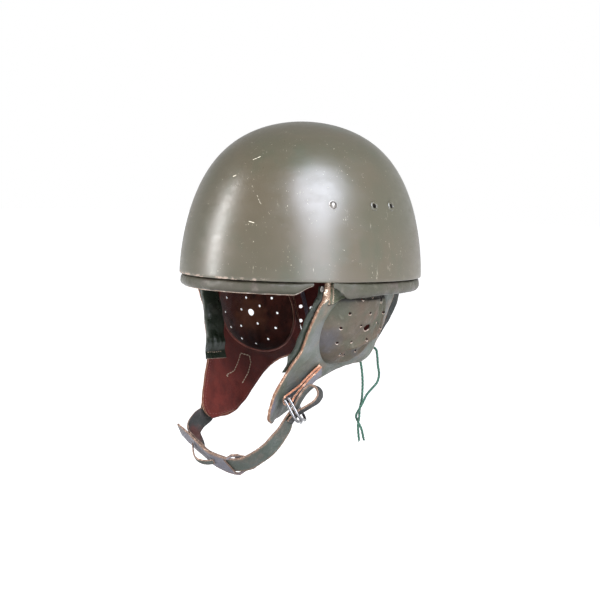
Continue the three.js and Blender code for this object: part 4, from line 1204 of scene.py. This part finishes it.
def cup_spot(side, a, d, lift):
    """A point over the ear cup's dome, whose skirt passes under the flap's leather."""
    a, d = np.broadcast_arrays(np.asarray(a, float), np.asarray(d, float))
    r = np.hypot(a, d) / CUP["radius"]
    rise = CUP["depth"] * (1 - r ** CUP["power"])
    rise = np.maximum(rise, -LEATHER - 0.05) + cup_dents(side, a, d)
    spot = flap_face("left", a, d) + flap_normal("left", a, d) * (rise + lift)[..., None]
    return spot * [1 if side == "left" else -1, 1, 1]


def cup_holes():
    ring = np.radians(CUP_RING["phase"] + 360 / CUP_RING["count"] * np.arange(CUP_RING["count"]))
    return CUP_INNER + [(CUP_RING["radius"] * math.cos(t), CUP_RING["radius"] * math.sin(t)) for t in ring]


def ear_cup(side, leather, inside, hole, pale):
    columns = 168
    angle = np.linspace(0, 2 * math.pi, columns, endpoint=False)
    radius = np.concatenate([np.linspace(CUP["centre"], CUP["radius"], 46), [51.4, 52.3, 53.2]])
    share = np.maximum(0, 1 - (radius - CUP["centre"]) / (CUP["radius"] - CUP["centre"]))
    a = radius[:, None] * np.cos(angle) + CUP_SHIFT[0] * share[:, None]
    d = radius[:, None] * np.sin(angle) + CUP_SHIFT[1] * share[:, None]
    wall = CUP["wall"] * (1 - 0.88 * smooth(radius, 49, 52))[:, None] + 0 * a
    lip = -0.5 * (1 - smooth(radius, CUP["centre"], CUP["centre"] + 0.9))[:, None] + 0 * a
    outer, inner = cup_spot(side, a, d, lip), cup_spot(side, a, d, -wall - lip)
    made = layer(f"ear_cup_{side}_dome", outer, inner, [leather, inside, hole], wrap=True)
    tools = []
    for x, y in cup_holes():
        x, y = np.float64(x), np.float64(y)
        top, bottom = cup_spot(side, x, y, 1), cup_spot(side, x, y, -1)
        tools.append((cup_spot(side, x, y, 0), top - bottom, HOLE_RADIUS, 12))
    pierce(made, tools, 24, zone=2)
    dress(made, "cup_leather", f"ear_cup_{side}")
    cup_lips(side, pale)


def cup_lips(side, pale):
    """Pale raw lips under the cup's holes, where the punch turned the leather up."""
    lines = []
    for x, y in cup_holes() + [tuple(CUP_SHIFT)]:
        radius = CUP["centre"] if (x, y) == tuple(CUP_SHIFT) else HOLE_RADIUS
        t = np.radians(np.linspace(15, 165, 14))
        lines.append(cup_spot(side, x + (radius + 0.15) * np.cos(t), y + (radius + 0.15) * np.sin(t), 0.0))
    shape = 0.12 + 0.3 * np.sin(np.linspace(0, math.pi, 14))
    made = joined_tubes(f"ear_cup_{side}_hole_lips", lines, shape, 8, pale)
    dress(made, "cup_leather")


def cup_seam(side, material):
    """Raised seam on the lining round the ear cup."""
    t = np.linspace(0, 2 * math.pi, 200, endpoint=False)
    radius = FLAP_HOLE["seam"]
    line = flap_spot(side, radius * np.cos(t), radius * np.sin(t), -LEATHER - SUEDE - GAP - 0.2)
    made = joined_tubes(f"ear_cup_{side}_seam", [line], 1.25, 12, material, closed=True)
    return dress(made, "suede")


def facing(side, leather, raw):
    """Puffed strip of dark leather on the inside of the flap's front edge, flat below its stitch line."""
    bottom, stitch = FACING["bottom"], FACING["bottom"] - 8
    levels = np.linspace(FACING["top"], bottom, 96)
    front = np.interp(levels, *FLAP_FRONT)
    under = -LEATHER - SUEDE - 2 * GAP - 0.1
    lead = FACING["lead"] * smooth(levels, FACING["top"], FACING["top"] + 40)
    inner = FACING["inner"] - FACING["narrowing"] * smooth(levels, 0, bottom)
    puff = FACING["puff"] * (1 - 0.86 * smooth(levels, stitch - 9, stitch + 1))
    middle = (front + inner) / 2
    shape = [
        (front + 1, 0, 0),
        (front - lead * 0.8, 0.2, 0.3),
        (front - lead, 0.55, 0.5),
        (front - lead * 0.3, 0.9, 0.8),
        (middle, 1, 1),
        (inner - 3, 0.75, 0.9),
        (inner, 0.2, 0.4),
        (inner - 1, 0, 0),
    ]
    sections, depths = [], []
    for k, level in enumerate(levels):
        ring = spline([(a[k], under - puff[k] * share) for a, share, _ in shape], 34, closed=True)
        fold = 0.55 * ripple(ring[:, 0] * 1.0, level + 0 * ring[:, 0], 16, 51)
        fold += 1.1 * smooth(level, 14, 44) * ripple(ring[:, 0] * 1.6, level * 0.45 + 0 * ring[:, 0], 9, 52)
        deep = smooth(-(ring[:, 1] - under), 0.8, 3)
        depths.append(under - ring[:, 1])
        sections.append(flap_spot(side, ring[:, 0], level, ring[:, 1] + fold * deep * smooth(puff[k], 1, 5)))
    points, faces = rings(np.array(sections))
    zones = np.zeros(len(faces))
    zones[-34:] = 1
    made = piece(f"facing_{side}_pad", points, faces, [leather, raw], zones)
    count = len(levels)
    held = np.ones((count, len(ring)), bool)
    rise = np.array(depths)
    held[3:-3] = (rise < 0.45 * puff.max())[3:-3] | (levels > stitch - 6)[3:-3, None]
    puffed(made, np.concatenate([held.ravel(), [True, True]]), FACING_SWELL)
    dress(made, "facing_leather", f"facing_{side}")


CURTAIN_HALF_WIDTH, CURTAIN_HALF_LENGTH = (
    soft_table([r[0] for r in CURTAIN_ROWS], [r[key] for r in CURTAIN_ROWS], window=11) for key in (1, 2)
)


def curtain_spot(angle, z, depth):
    width, length = np.interp(z, *CURTAIN_HALF_WIDTH), np.interp(z, *CURTAIN_HALF_LENGTH)
    spot = [(width - depth) * np.cos(angle), (length - depth) * np.sin(angle), z + 0 * angle]
    return np.stack(np.broadcast_arrays(*spot), axis=-1)


def curtain_angle(y, z):
    return np.arcsin(y / np.interp(z, *CURTAIN_HALF_LENGTH))


def curtain_relief(angle, z):
    """Slack of the neck curtain: soft upright folds that grow towards its lower edge."""
    round_it = angle * 95
    folds = 1.1 * ripple(round_it, z * 0.35, 30, 61) + 0.35 * ripple(round_it, z, 12, 62)
    return folds * smooth(-z, -2, 60)


def curtain_grid(front, trim, top=20, rows=64, columns=170):
    bottom = CURTAIN_ROWS[-1][0] + trim
    z = np.concatenate([np.linspace(top, bottom + 2, rows), bottom + np.array([1.2, 0.6, 0.2, 0])])[:, None]
    start = curtain_angle(front, z)
    share = np.linspace(0, 1, columns)[None]
    angle = start + (math.pi - 2 * start) * share
    z = z + 0 * angle
    round_over = rounded(z - bottom, 0.7)

    def at(depth, sign=0.0):
        return curtain_spot(angle, z, depth - curtain_relief(angle, z) + round_over * sign)

    return at


def curtain_tools():
    tools = []
    for side in (1, -1):
        for y, z in CURTAIN_HOLES:
            angle = curtain_angle(y, np.float64(z))
            spot = curtain_spot(angle, np.float64(z), 2) * [side, 1, 1]
            tools.append((spot, spot * [1, 1, 0], CURTAIN_HOLE_RADIUS, 30))
    return tools


def neck_curtain(leather, suede, raw, hole):
    at = curtain_grid(CURTAIN_FRONT, 0)
    made = layer("neck_curtain_leather", at(0, 1), at(LEATHER, -0.5), [leather, suede, raw, hole])
    pierce(made, curtain_tools(), 20, zone=3)
    dress(made, "flap_leather", "neck_curtain")
    at = curtain_grid(CURTAIN_FRONT + 1, 0.8)
    start = LEATHER + GAP
    made = layer("lining_neck_suede", at(start), at(start + SUEDE, -0.5), [suede, suede, raw, hole])
    pierce(made, curtain_tools(), 20, zone=3)
    dress(made, "suede", "lining_neck")


def seam_tape(material):
    heights = np.linspace(TAPE["top"], TAPE["bottom"], 60)[:, None]
    y = TAPE["y"] + TAPE["width"] * np.linspace(-0.5, 0.5, 9)[None]
    angle = curtain_angle(y, heights)
    z = heights + 0 * angle
    crown = 0.35 * (1 - np.linspace(-1, 1, 9) ** 4)[None]

    def at(depth):
        spot = curtain_spot(angle, z, depth - curtain_relief(math.pi - angle, z))
        return spot * [-1, 1, 1]

    outer, inner = at(TAPE["depth"] + 0 * z), at(TAPE["depth"] + TAPE["thick"] + crown)
    made = layer("neck_seam_tape_weave", outer, inner, [material])
    made.data.polygons.foreach_set("material_index", np.zeros(len(made.data.polygons), np.int32))
    dress(made, "tape", "neck_seam_tape")


def strap_stations():
    """The strap's rows: centre points and outward looks, as in the CAD."""
    points, looks = [], []
    for a, d in STRAP_ON_FLAP:
        a, d = np.float64(a), np.float64(d)
        normal = flap_normal("right", a, d) * [-1, 1, 1]
        points.append(flap_face("right", a, d) * [-1, 1, 1] + normal * STRAP["lift"])
        looks.append(normal)
    for row in STRAP_ROUND:
        points.append(np.array(row[:3], float))
        looks.append(unit(row[3:]))
    return np.array(points), np.array(looks)


def strap_frames(rows):
    """Points, side directions and outward directions at numbered rows of the strap's course."""
    points, looks = strap_stations()
    share = np.asarray(rows, float) / (len(points) - 1)
    centre = np.concatenate([centripetal(points, s) for s in share])
    ahead = np.concatenate([centripetal(points, min(1, s + 0.0015)) for s in share])
    behind = np.concatenate([centripetal(points, max(0, s - 0.0015)) for s in share])
    run = unit(ahead - behind)
    look = np.concatenate([centripetal(looks, s) for s in share])
    side = unit(np.cross(run, look))
    return centre, side, np.cross(side, run)


def band_profile(width, thick, corner=0.5, across=9):
    """A flat band's rounded section as offsets to the side and outwards, and each face's zone."""
    half, deep = width / 2, thick / 2
    flat = [(x, deep) for x in np.linspace(corner - half, half - corner, across)]
    arc = [
        (half - corner + corner * math.sin(t), deep - corner + corner * math.cos(t))
        for t in np.linspace(0, math.pi / 2, 4)[1:]
    ]
    quarter = flat + arc
    points = np.array(quarter + [(-x, -y) for x, y in quarter])
    nearby = np.roll(points, -1, 0)
    level = np.abs(points[:, 1] - nearby[:, 1]) < 1e-9
    zones = np.where(level & (points[:, 1] > 0), 0, np.where(level & (points[:, 1] < 0), 1, 2))
    return points, zones


def band(name, frames, width, thick, lift, materials, seed, corner=0.5):
    """A leather band along frames; width, thickness and lift are numbers or one value a station."""
    centre, side, out = frames
    count = len(centre)
    width, thick, lift = (np.broadcast_to(np.asarray(v, float), (count,)) for v in (width, thick, lift))
    along = run_length(centre)
    profile, zones = band_profile(width.max(), thick.max(), corner)
    w = profile[None, :, 0] * (width / width.max())[:, None]
    o = profile[None, :, 1] * (thick / thick.max())[:, None]
    ragged = 0.16 * ripple(along[:, None], profile[None, :, 1] * 2, 3.5, seed)
    w = w + ragged * np.sign(w) * smooth(np.abs(w), width.max() / 2 - 1, width.max() / 2)
    o = o + 0.22 * ripple(along[:, None], w, 17, seed + 1)
    o = o + 0.35 * ripple(along[:, None], 0 * w, 31, seed + 2)
    sections = centre[:, None] + side[:, None] * w[..., None] + out[:, None] * (o + lift[:, None])[..., None]
    points, faces = rings(sections)
    size = len(profile)
    kinds = np.concatenate([np.tile(zones, count - 1), np.full(2 * size, 2)])
    made = piece(name, points, faces, materials, kinds)
    near = smooth(np.abs(w), width.max() / 2 - 1.1, width.max() / 2 - 0.3)
    mark_edge(made, near.ravel())
    return made


def chin_strap(leather, inner, raw):
    last = len(STRAP_ON_FLAP) + len(STRAP_ROUND) - 1
    frames = strap_frames(np.linspace(0, last, 420))
    made = band("chin_strap_leather", frames, STRAP["width"], STRAP["thick"], 0, [leather, inner, raw], 71)
    return dress(made, "strap_leather", "chin_strap")


def pad_frames(rows):
    """The pad's frames: the strap's own, or on the free stretch those of a curve out to the tip."""
    rows = np.asarray(rows, float)
    centre, side, out = strap_frames(np.maximum(rows, PAD["free"]))
    root, root_side, root_out = (v[0] for v in strap_frames([PAD["free"]]))
    run = np.cross(root_out, root_side)
    bend = root - run * np.linalg.norm(root - PAD_TIP) / 2
    share = ((PAD["free"] - rows) / (PAD["free"] - PAD["start"]))[:, None]
    path = root * (1 - share) ** 2 + bend * 2 * share * (1 - share) + PAD_TIP * share**2
    capped = np.minimum(share, 1)
    ahead = unit((bend - root) * (1 - capped) + (PAD_TIP - bend) * capped)
    look = root_out * (1 - share) + unit(PAD_TIP_LOOK) * share
    free_side = unit(np.cross(-ahead, look))
    free = rows[:, None] < PAD["free"]
    pairs = ((path, centre), (free_side, side), (np.cross(free_side, -ahead), out))
    return tuple(np.where(free, loose, tight) for loose, tight in pairs)


def slanted_frames(rows, width):
    """Frames across the pad's slanted sections, whose left edges come before their right ones."""
    half = (np.broadcast_to(np.asarray(width, float), np.shape(rows)) / 2)[:, None]
    first, second = (pad_frames(np.asarray(rows) + shift * PAD_CUT["slant"]) for shift in (-1, 1))
    left, right = first[0] - first[1] * half, second[0] + second[1] * half
    return (left + right) / 2, (right - left) / (2 * half), unit(first[2] + second[2])


def pad_lift(rows):
    return PAD["lift"] * (1 - 2 * smooth(rows, PAD["slit"], PAD["slit_end"]))


def chin_pad(leather, inner, raw):
    rows = np.linspace(PAD["start"], PAD["end"], 190)
    from_end = np.minimum(rows - PAD["start"], PAD["end"] - rows)
    taper = PAD_CUT["taper"]
    width = PAD["width"] * (taper + (1 - taper) * smooth(from_end, 0, PAD_CUT["taper_rows"]))
    frames = slanted_frames(rows, width)
    made = band("chin_pad_leather", frames, width, PAD["thick"], pad_lift(rows), [leather, inner, raw], 81)
    half, deep = STRAP["width"] / 2 + PAD_CUT["side_room"], (STRAP["thick"] + PAD_CUT["depth"]) / 2
    room = PAD_CUT["slit_room"]
    cut_rows = np.linspace(PAD["slit"] - room, PAD["slit_end"] + room, 12)
    centre, side, out = slanted_frames(cut_rows, 2 * half)
    corners = [(-1, -1), (1, -1), (1, 1), (-1, 1)]
    sections = np.stack([centre + side * (x * half) + out * (y * deep) for x, y in corners], axis=1)
    cut_out(made, *pooled([rings(sections)]), 2)
    return dress(made, "strap_leather", "chin_pad")


def chin_keeper(leather, inner, raw):
    t = np.linspace(0, 1, 70)
    rows = KEEPER["start"] + (KEEPER["end"] - KEEPER["start"]) * t
    base = PAD["lift"] + PAD["thick"] / 2 + GAP + KEEPER["thick"] / 2
    lift = base + KEEPER["bulge"] * np.sin(math.pi * t)
    width, thick = KEEPER["width"], KEEPER["thick"]
    made = band("chin_keeper_loop", pad_frames(rows), width, thick, lift, [leather, inner, raw], 91)
    return dress(made, "strap_leather", "chin_keeper")


def ring_tab(leather, raw):
    """Doubled tab: down the flap, round the bars of both rings, and back up over itself."""
    a, d = np.float64(TAB["along"]), np.float64(TAB["down"])
    seat_look = flap_normal("left", a, d)
    seat = flap_face("left", a, d) + seat_look * (TAB["lift"] + TAB["thick"] / 2)
    ring_side = unit(RING_SIDE)
    reach = unit(RING_BAR - seat)
    seat_side = unit(np.cross(reach, seat_look))
    run = unit(reach - ring_side * (reach @ ring_side))
    look = unit(np.cross(ring_side, run))
    side = -seat_side if seat_side @ ring_side < 0 else seat_side
    up = -look if look @ seat_look < 0 else look
    rows = []
    closed = (TAB["thick"] + TAB["gap"]) / 2

    def place(share, flip):
        level = unit(seat_look * (1 - share) + up * share)
        apart = closed + (TAB["round"] - closed) * share ** TAB["opening"]
        centre = (seat + seat_look * closed) * (1 - share) + RING_BAR * share + level * flip * apart
        rows.append((centre, unit(side * (1 - share) + ring_side * share), level * flip))

    for share in TAB_SHARES:
        place(share, -1)
    for degrees in TAB_TURN:
        t = math.radians(degrees)
        away = run * TAB["reach"] * math.cos(t) + up * TAB["round"] * math.sin(t)
        rows.append((RING_BAR + away, ring_side, run * math.cos(t) + up * math.sin(t)))
    for share in TAB_SHARES[::-1]:
        place(share, 1)
    share = np.linspace(0, 1, 110)
    centre, sides, looks = (
        np.concatenate([centripetal(np.array([r[k] for r in rows]), s) for s in share]) for k in range(3)
    )
    frames = (centre, unit(sides), unit(looks))
    made = band("ring_tab_leather", frames, TAB["width"], TAB["thick"], 0, [leather, leather, raw], 101)
    return dress(made, "strap_leather", "ring_tab")


def d_rings(steel):
    bar = [(-1, 0), (-0.5, 0), (0, 0), (0.5, 0), (1, 0)]
    bow_half = [(1, 0.25), (0.98, 0.78), (0.7, 0.98)]
    shape = bar + bow_half + [(0, 1)] + [(-w, u) for w, u in bow_half[::-1]]
    side, bow = unit(RING_SIDE), unit(RING_BOW)
    normal = unit(np.cross(side, bow))
    for name, offset in (("d_ring_upper", RING["apart"]), ("d_ring_lower", -RING["apart"])):
        centre = RING_BAR + normal * offset
        corners = [centre + side * (w * RING["half_width"]) + bow * (u * RING["depth"]) for w, u in shape]
        line = spline(corners, 120, closed=True)
        made = joined_tubes(f"{name}_wire", [line], RING["wire"], 16, steel, closed=True)
        dress(made, "steel", name)


def braided(name, route, count, material, node, facing_end):
    """A braided cord as a tube whose strands stand out, along its centre line."""
    line = spline(route, count)
    sides = 18
    along = run_length(line)
    angle = np.linspace(0, 2 * math.pi, sides, endpoint=False)
    one = np.cos(3 * angle[None] + along[:, None] * 1.5)
    two = np.cos(3 * angle[None] - along[:, None] * 1.5)
    relief = 0.13 * np.maximum(one, two)
    sections = tube_sections(line, CORD_RADIUS - 0.08, sides)
    sections = line[:, None] + (sections - line[:, None]) * (1 + relief)[..., None]
    points, faces = rings(sections)
    made = piece(name, points, faces, [material], sharp=math.radians(60))
    dress(made, "cord", node)
    ends = frayed_end(name + "_frayed_end", line, material, facing_end)


def frayed_end(name, line, material, seed):
    """Loose yarns at a cord's cut end."""
    r = np.random.default_rng(SEED + seed)
    end, run = line[-1], unit(line[-1] - line[-4])
    lines = []
    for _ in range(16):
        start = end + (r.random(3) - 0.5) * 1.6 - run * 1.5
        aim = unit(run + (r.random(3) - 0.5) * 0.55)
        bend = (r.random(3) - 0.5) * 1.2
        reach = 3 + 2 * r.random()
        t = np.linspace(0, 1, 6)[:, None]
        lines.append(start + aim * reach * t + bend * t * t)
    made = joined_tubes(name, lines, 0.22, 5, material)
    return dress(made, "cord")


def stitch_line(spots, normals, pitch, length, thick):
    """Short curved stitches along a line of spots, each a small line of points."""
    along = run_length(spots)
    stitches = []
    for start in np.arange(pitch * 0.3, along[-1] - length, pitch):
        at = start + length * np.linspace(0, 1, 5)
        points = np.stack([np.interp(at, along, spots[:, k]) for k in range(3)], axis=1)
        look = unit(np.stack([np.interp(at, along, normals[:, k]) for k in range(3)], axis=1))
        rise = thick * np.array([-0.9, 0.25, 0.55, 0.25, -0.9])
        stitches.append(points + look * rise[:, None])
    return stitches


def flap_stitches(name, side, places, lift, kind, material, slot):
    """Stitches along a path on the flap, given as along and down, over its outer or its inner face."""
    pitch, length, thick = STITCHES[kind]
    path = even(np.array(places, float), 400)
    normal = flap_normal(side, path[:, 0], path[:, 1]) * [1 if side == "left" else -1, 1, 1]
    spots = flap_spot(side, path[:, 0], path[:, 1], lift)
    lines = stitch_line(spots, normal * np.sign(lift + 0.5), pitch, length, thick)
    made = joined_tubes(name, lines, thick / 2, 6, material)
    return dress(made, slot)


def frayed_edge(material):
    """Thick bumpy raw edge at the top of the left flap's front, running out downwards."""
    top, bottom = FRAYED["top"], FRAYED["bottom"]
    levels = np.linspace(top, bottom, 160)
    to_end = smooth(levels, top, top + 3) * (1 - smooth(levels, bottom - 8, bottom + 1))
    front = np.interp(levels, *FLAP_FRONT)
    normal = flap_normal("left", front, levels)
    centre = flap_spot("left", front + FRAYED["stand"] + FRAYED["spread"] * to_end, levels, -0.4)
    across = unit(np.cross(normal, unit(np.gradient(centre, axis=0))))
    angle = np.linspace(0, 2 * math.pi, 22, endpoint=False)
    half = (0.5 + FRAYED["half"] * to_end)[:, None] * np.cos(angle)[None]
    deep = (0.6 + FRAYED["deep"] * to_end)[:, None] * np.sin(angle)[None]
    lumps = 0.22 * ripple(levels[:, None], angle[None] * 1.6, 3.2, 111)
    tufts = 0.2 * ripple(levels[:, None], angle[None] * 1.2, 1.3, 112)
    lump = 1 + (lumps + tufts) * to_end[:, None]
    off = across[:, None] * half[..., None] + normal[:, None] * deep[..., None]
    sections = centre[:, None] + off * lump[..., None]
    points, faces = rings(sections)
    return dress(piece("ear_flap_left_frayed_edge", points, faces, [material]), "flap_leather")


def flap_gusset(leather, raw, step_shadow):
    """Small three-cornered overlap of grainy leather under the rear roll's front end, above the ear cup, with
    a dark line along its lower edge as its painted shadow.
    """
    top, low, rear = (np.array(GUSSET[key], float) for key in ("top", "low", "rear"))
    t = np.linspace(0, 1, 30)[:, None, None]
    s = np.linspace(0, 1, 36)[None, :, None]
    front_line = top + (low - top) * t
    rear_line = top + (rear - top) * (0.25 + 0.75 * t)
    spot = front_line * (1 - s) + rear_line * s
    a, d = spot[..., 0], spot[..., 1]
    to_low = (1 - t[..., 0]) * GUSSET["height"] + 0 * a
    lift = GUSSET["lift"] + GUSSET["swell"] * np.exp(-((to_low - 1.8) / 2) ** 2) + 0.3 * ripple(a, d, 7, 121)
    edge = 0.5 * (1 - smooth(to_low, 0, 0.9))
    outer = flap_spot("left", a, d, lift - edge)
    inner = flap_spot("left", a, d, 0.15 + 0 * lift)
    dress(layer("ear_flap_left_gusset", outer, inner, [leather, leather, raw]), "flap_leather")
    # Painted shadow: a dark line where the gusset's lower edge steps down to the flap
    seam = even(np.array([low + (0.5, 1.0), (low + rear) / 2 + (0, 0.6), rear + (4, 0.2)]), 40)
    line = flap_spot("left", seam[:, 0], seam[:, 1], 0.5)
    radius = 0.75 * np.sin(np.linspace(0.4, 2.7, 40))
    made = joined_tubes("ear_flap_left_gusset_shadow_line", [line], radius, 8, step_shadow)
    dress(made, "flap_leather")


def side_eye(steel):
    """Small steel eye on the left flap's front edge, in the gap beside the front roll."""
    t = np.linspace(0, 2 * math.pi, 24, endpoint=False)
    spot = flap_spot("left", EYE["along"], EYE["down"], EYE["lift"])
    half = EYE["half_width"]
    line = spot + np.stack([0 * t, half * np.cos(t) - half, EYE["half_height"] * np.sin(t)], axis=1)
    made = joined_tubes("ear_flap_left_eye", [line], EYE["wire"], 10, steel, closed=True)
    return dress(made, "steel")


def stitching(thread, faded):
    inner = -LEATHER - GAP - SUEDE
    for side in ("left", "right"):
        outline = flap_outline(500, 3.4)
        low = outline[outline[:, 1] > FACING["bottom"] + 0.5]
        start = int(np.argmax(np.linalg.norm(low - np.roll(low, 1, 0), axis=1)))
        hem = np.roll(low, -start, 0)
        level = FACING["bottom"] - 7
        inner_edge = FACING["inner"] - FACING["narrowing"]
        across = [(np.interp(level, *FLAP_FRONT) - 2, level), (inner_edge - 3, level)]
        under = inner - GAP - 1.1
        flap_stitches(f"lining_{side}_edge_stitches", side, hem, inner, "edge", faded, "suede")
        flap_stitches(f"lining_{side}_box_stitches", side, BOX_PATH, inner, "box", thread, "suede")
        flap_stitches(f"facing_{side}_stitches", side, across, under, "facing", thread, "facing_leather")
    flap_stitches("ear_flap_left_top_stitches", "left", TOP_PATH, 1.9, "top", thread, "flap_leather")


def floor(material):
    half, z = FLOOR["size"] / 2 / MM, FLOOR["z"] / MM
    steps = np.linspace(-half, half, 9)
    points = np.array([(x, y, z) for x in steps for y in steps])
    made = piece("floor", points, quads(9, 9), [material], flip=False)


def materials():
    """Every material by name, from the tables of tones."""
    look = {"paint": paint_look("paint_olive"), "paint_inside": paint_look("paint_inside", inside=True)}
    for table, make in (
        (STEELS, steel_look),
        (RAW_EDGES, raw_edge_look),
        (LEATHERS, leather_look),
        (SUEDES, suede_look),
        (YARNS, fibre_look),
    ):
        look.update({name: make(name, *row) for name, row in table.items()})
    return look


def build():
    camera_and_light()
    look = materials()
    # hole: the cut edge darkened as painted shade, for the walls of holes and for gaps
    raw, pale, hole = look["raw_edge"], look["raw_pale"], look["raw_hole_shaded"]
    suede, frayed, dull = look["suede_red"], look["raw_frayed"], look["steel_dull"]
    braided("neck_cord_a_braid", CORD_A, 190, look["cord_green"], "neck_cord_a", 1)
    braided("neck_cord_b_braid", CORD_B, 250, look["cord_green"], "neck_cord_b", 2)
    shell(look["paint"], look["paint_inside"])
    fittings(look["paint"], dull, hole)
    roll = look["roll_leather"]
    rim_roll("rim_roll_front_pad", -ROLL_FRONT_END, ROLL_FRONT_END, 300, True, roll, "rim_roll_front")
    rim_roll("rim_roll_rear_pad", ROLL_REAR_START, 360 - ROLL_REAR_START, 460, False, roll, "rim_roll_rear")
    roll_welt(pale)
    for side in ("left", "right"):
        ear_flap(side, look["flap_leather"], suede, raw)
        ear_cup(side, look["cup_leather"], look["cup_inside"], hole, pale)
        cup_seam(side, look["seam_suede"])
        facing(side, look["facing_leather"], pale)
    neck_curtain(look["curtain_leather_shaded"], suede, raw, hole)
    seam_tape(look["tape_weave"])
    strap, back, strap_raw = look["strap_leather"], look["strap_back"], look["raw_strap"]
    chin_strap(strap, back, strap_raw)
    chin_pad(look["pad_leather"], strap, strap_raw)
    chin_keeper(strap, back, strap_raw)
    ring_tab(look["pad_leather"], look["raw_orange"])
    d_rings(look["steel_plated"])
    stitching(look["thread"], look["thread_faded"])
    frayed_edge(frayed)
    flap_gusset(look["gusset_leather"], frayed, hole)
    side_eye(dull)
    floor(floor_look("floor_pale"))


build()
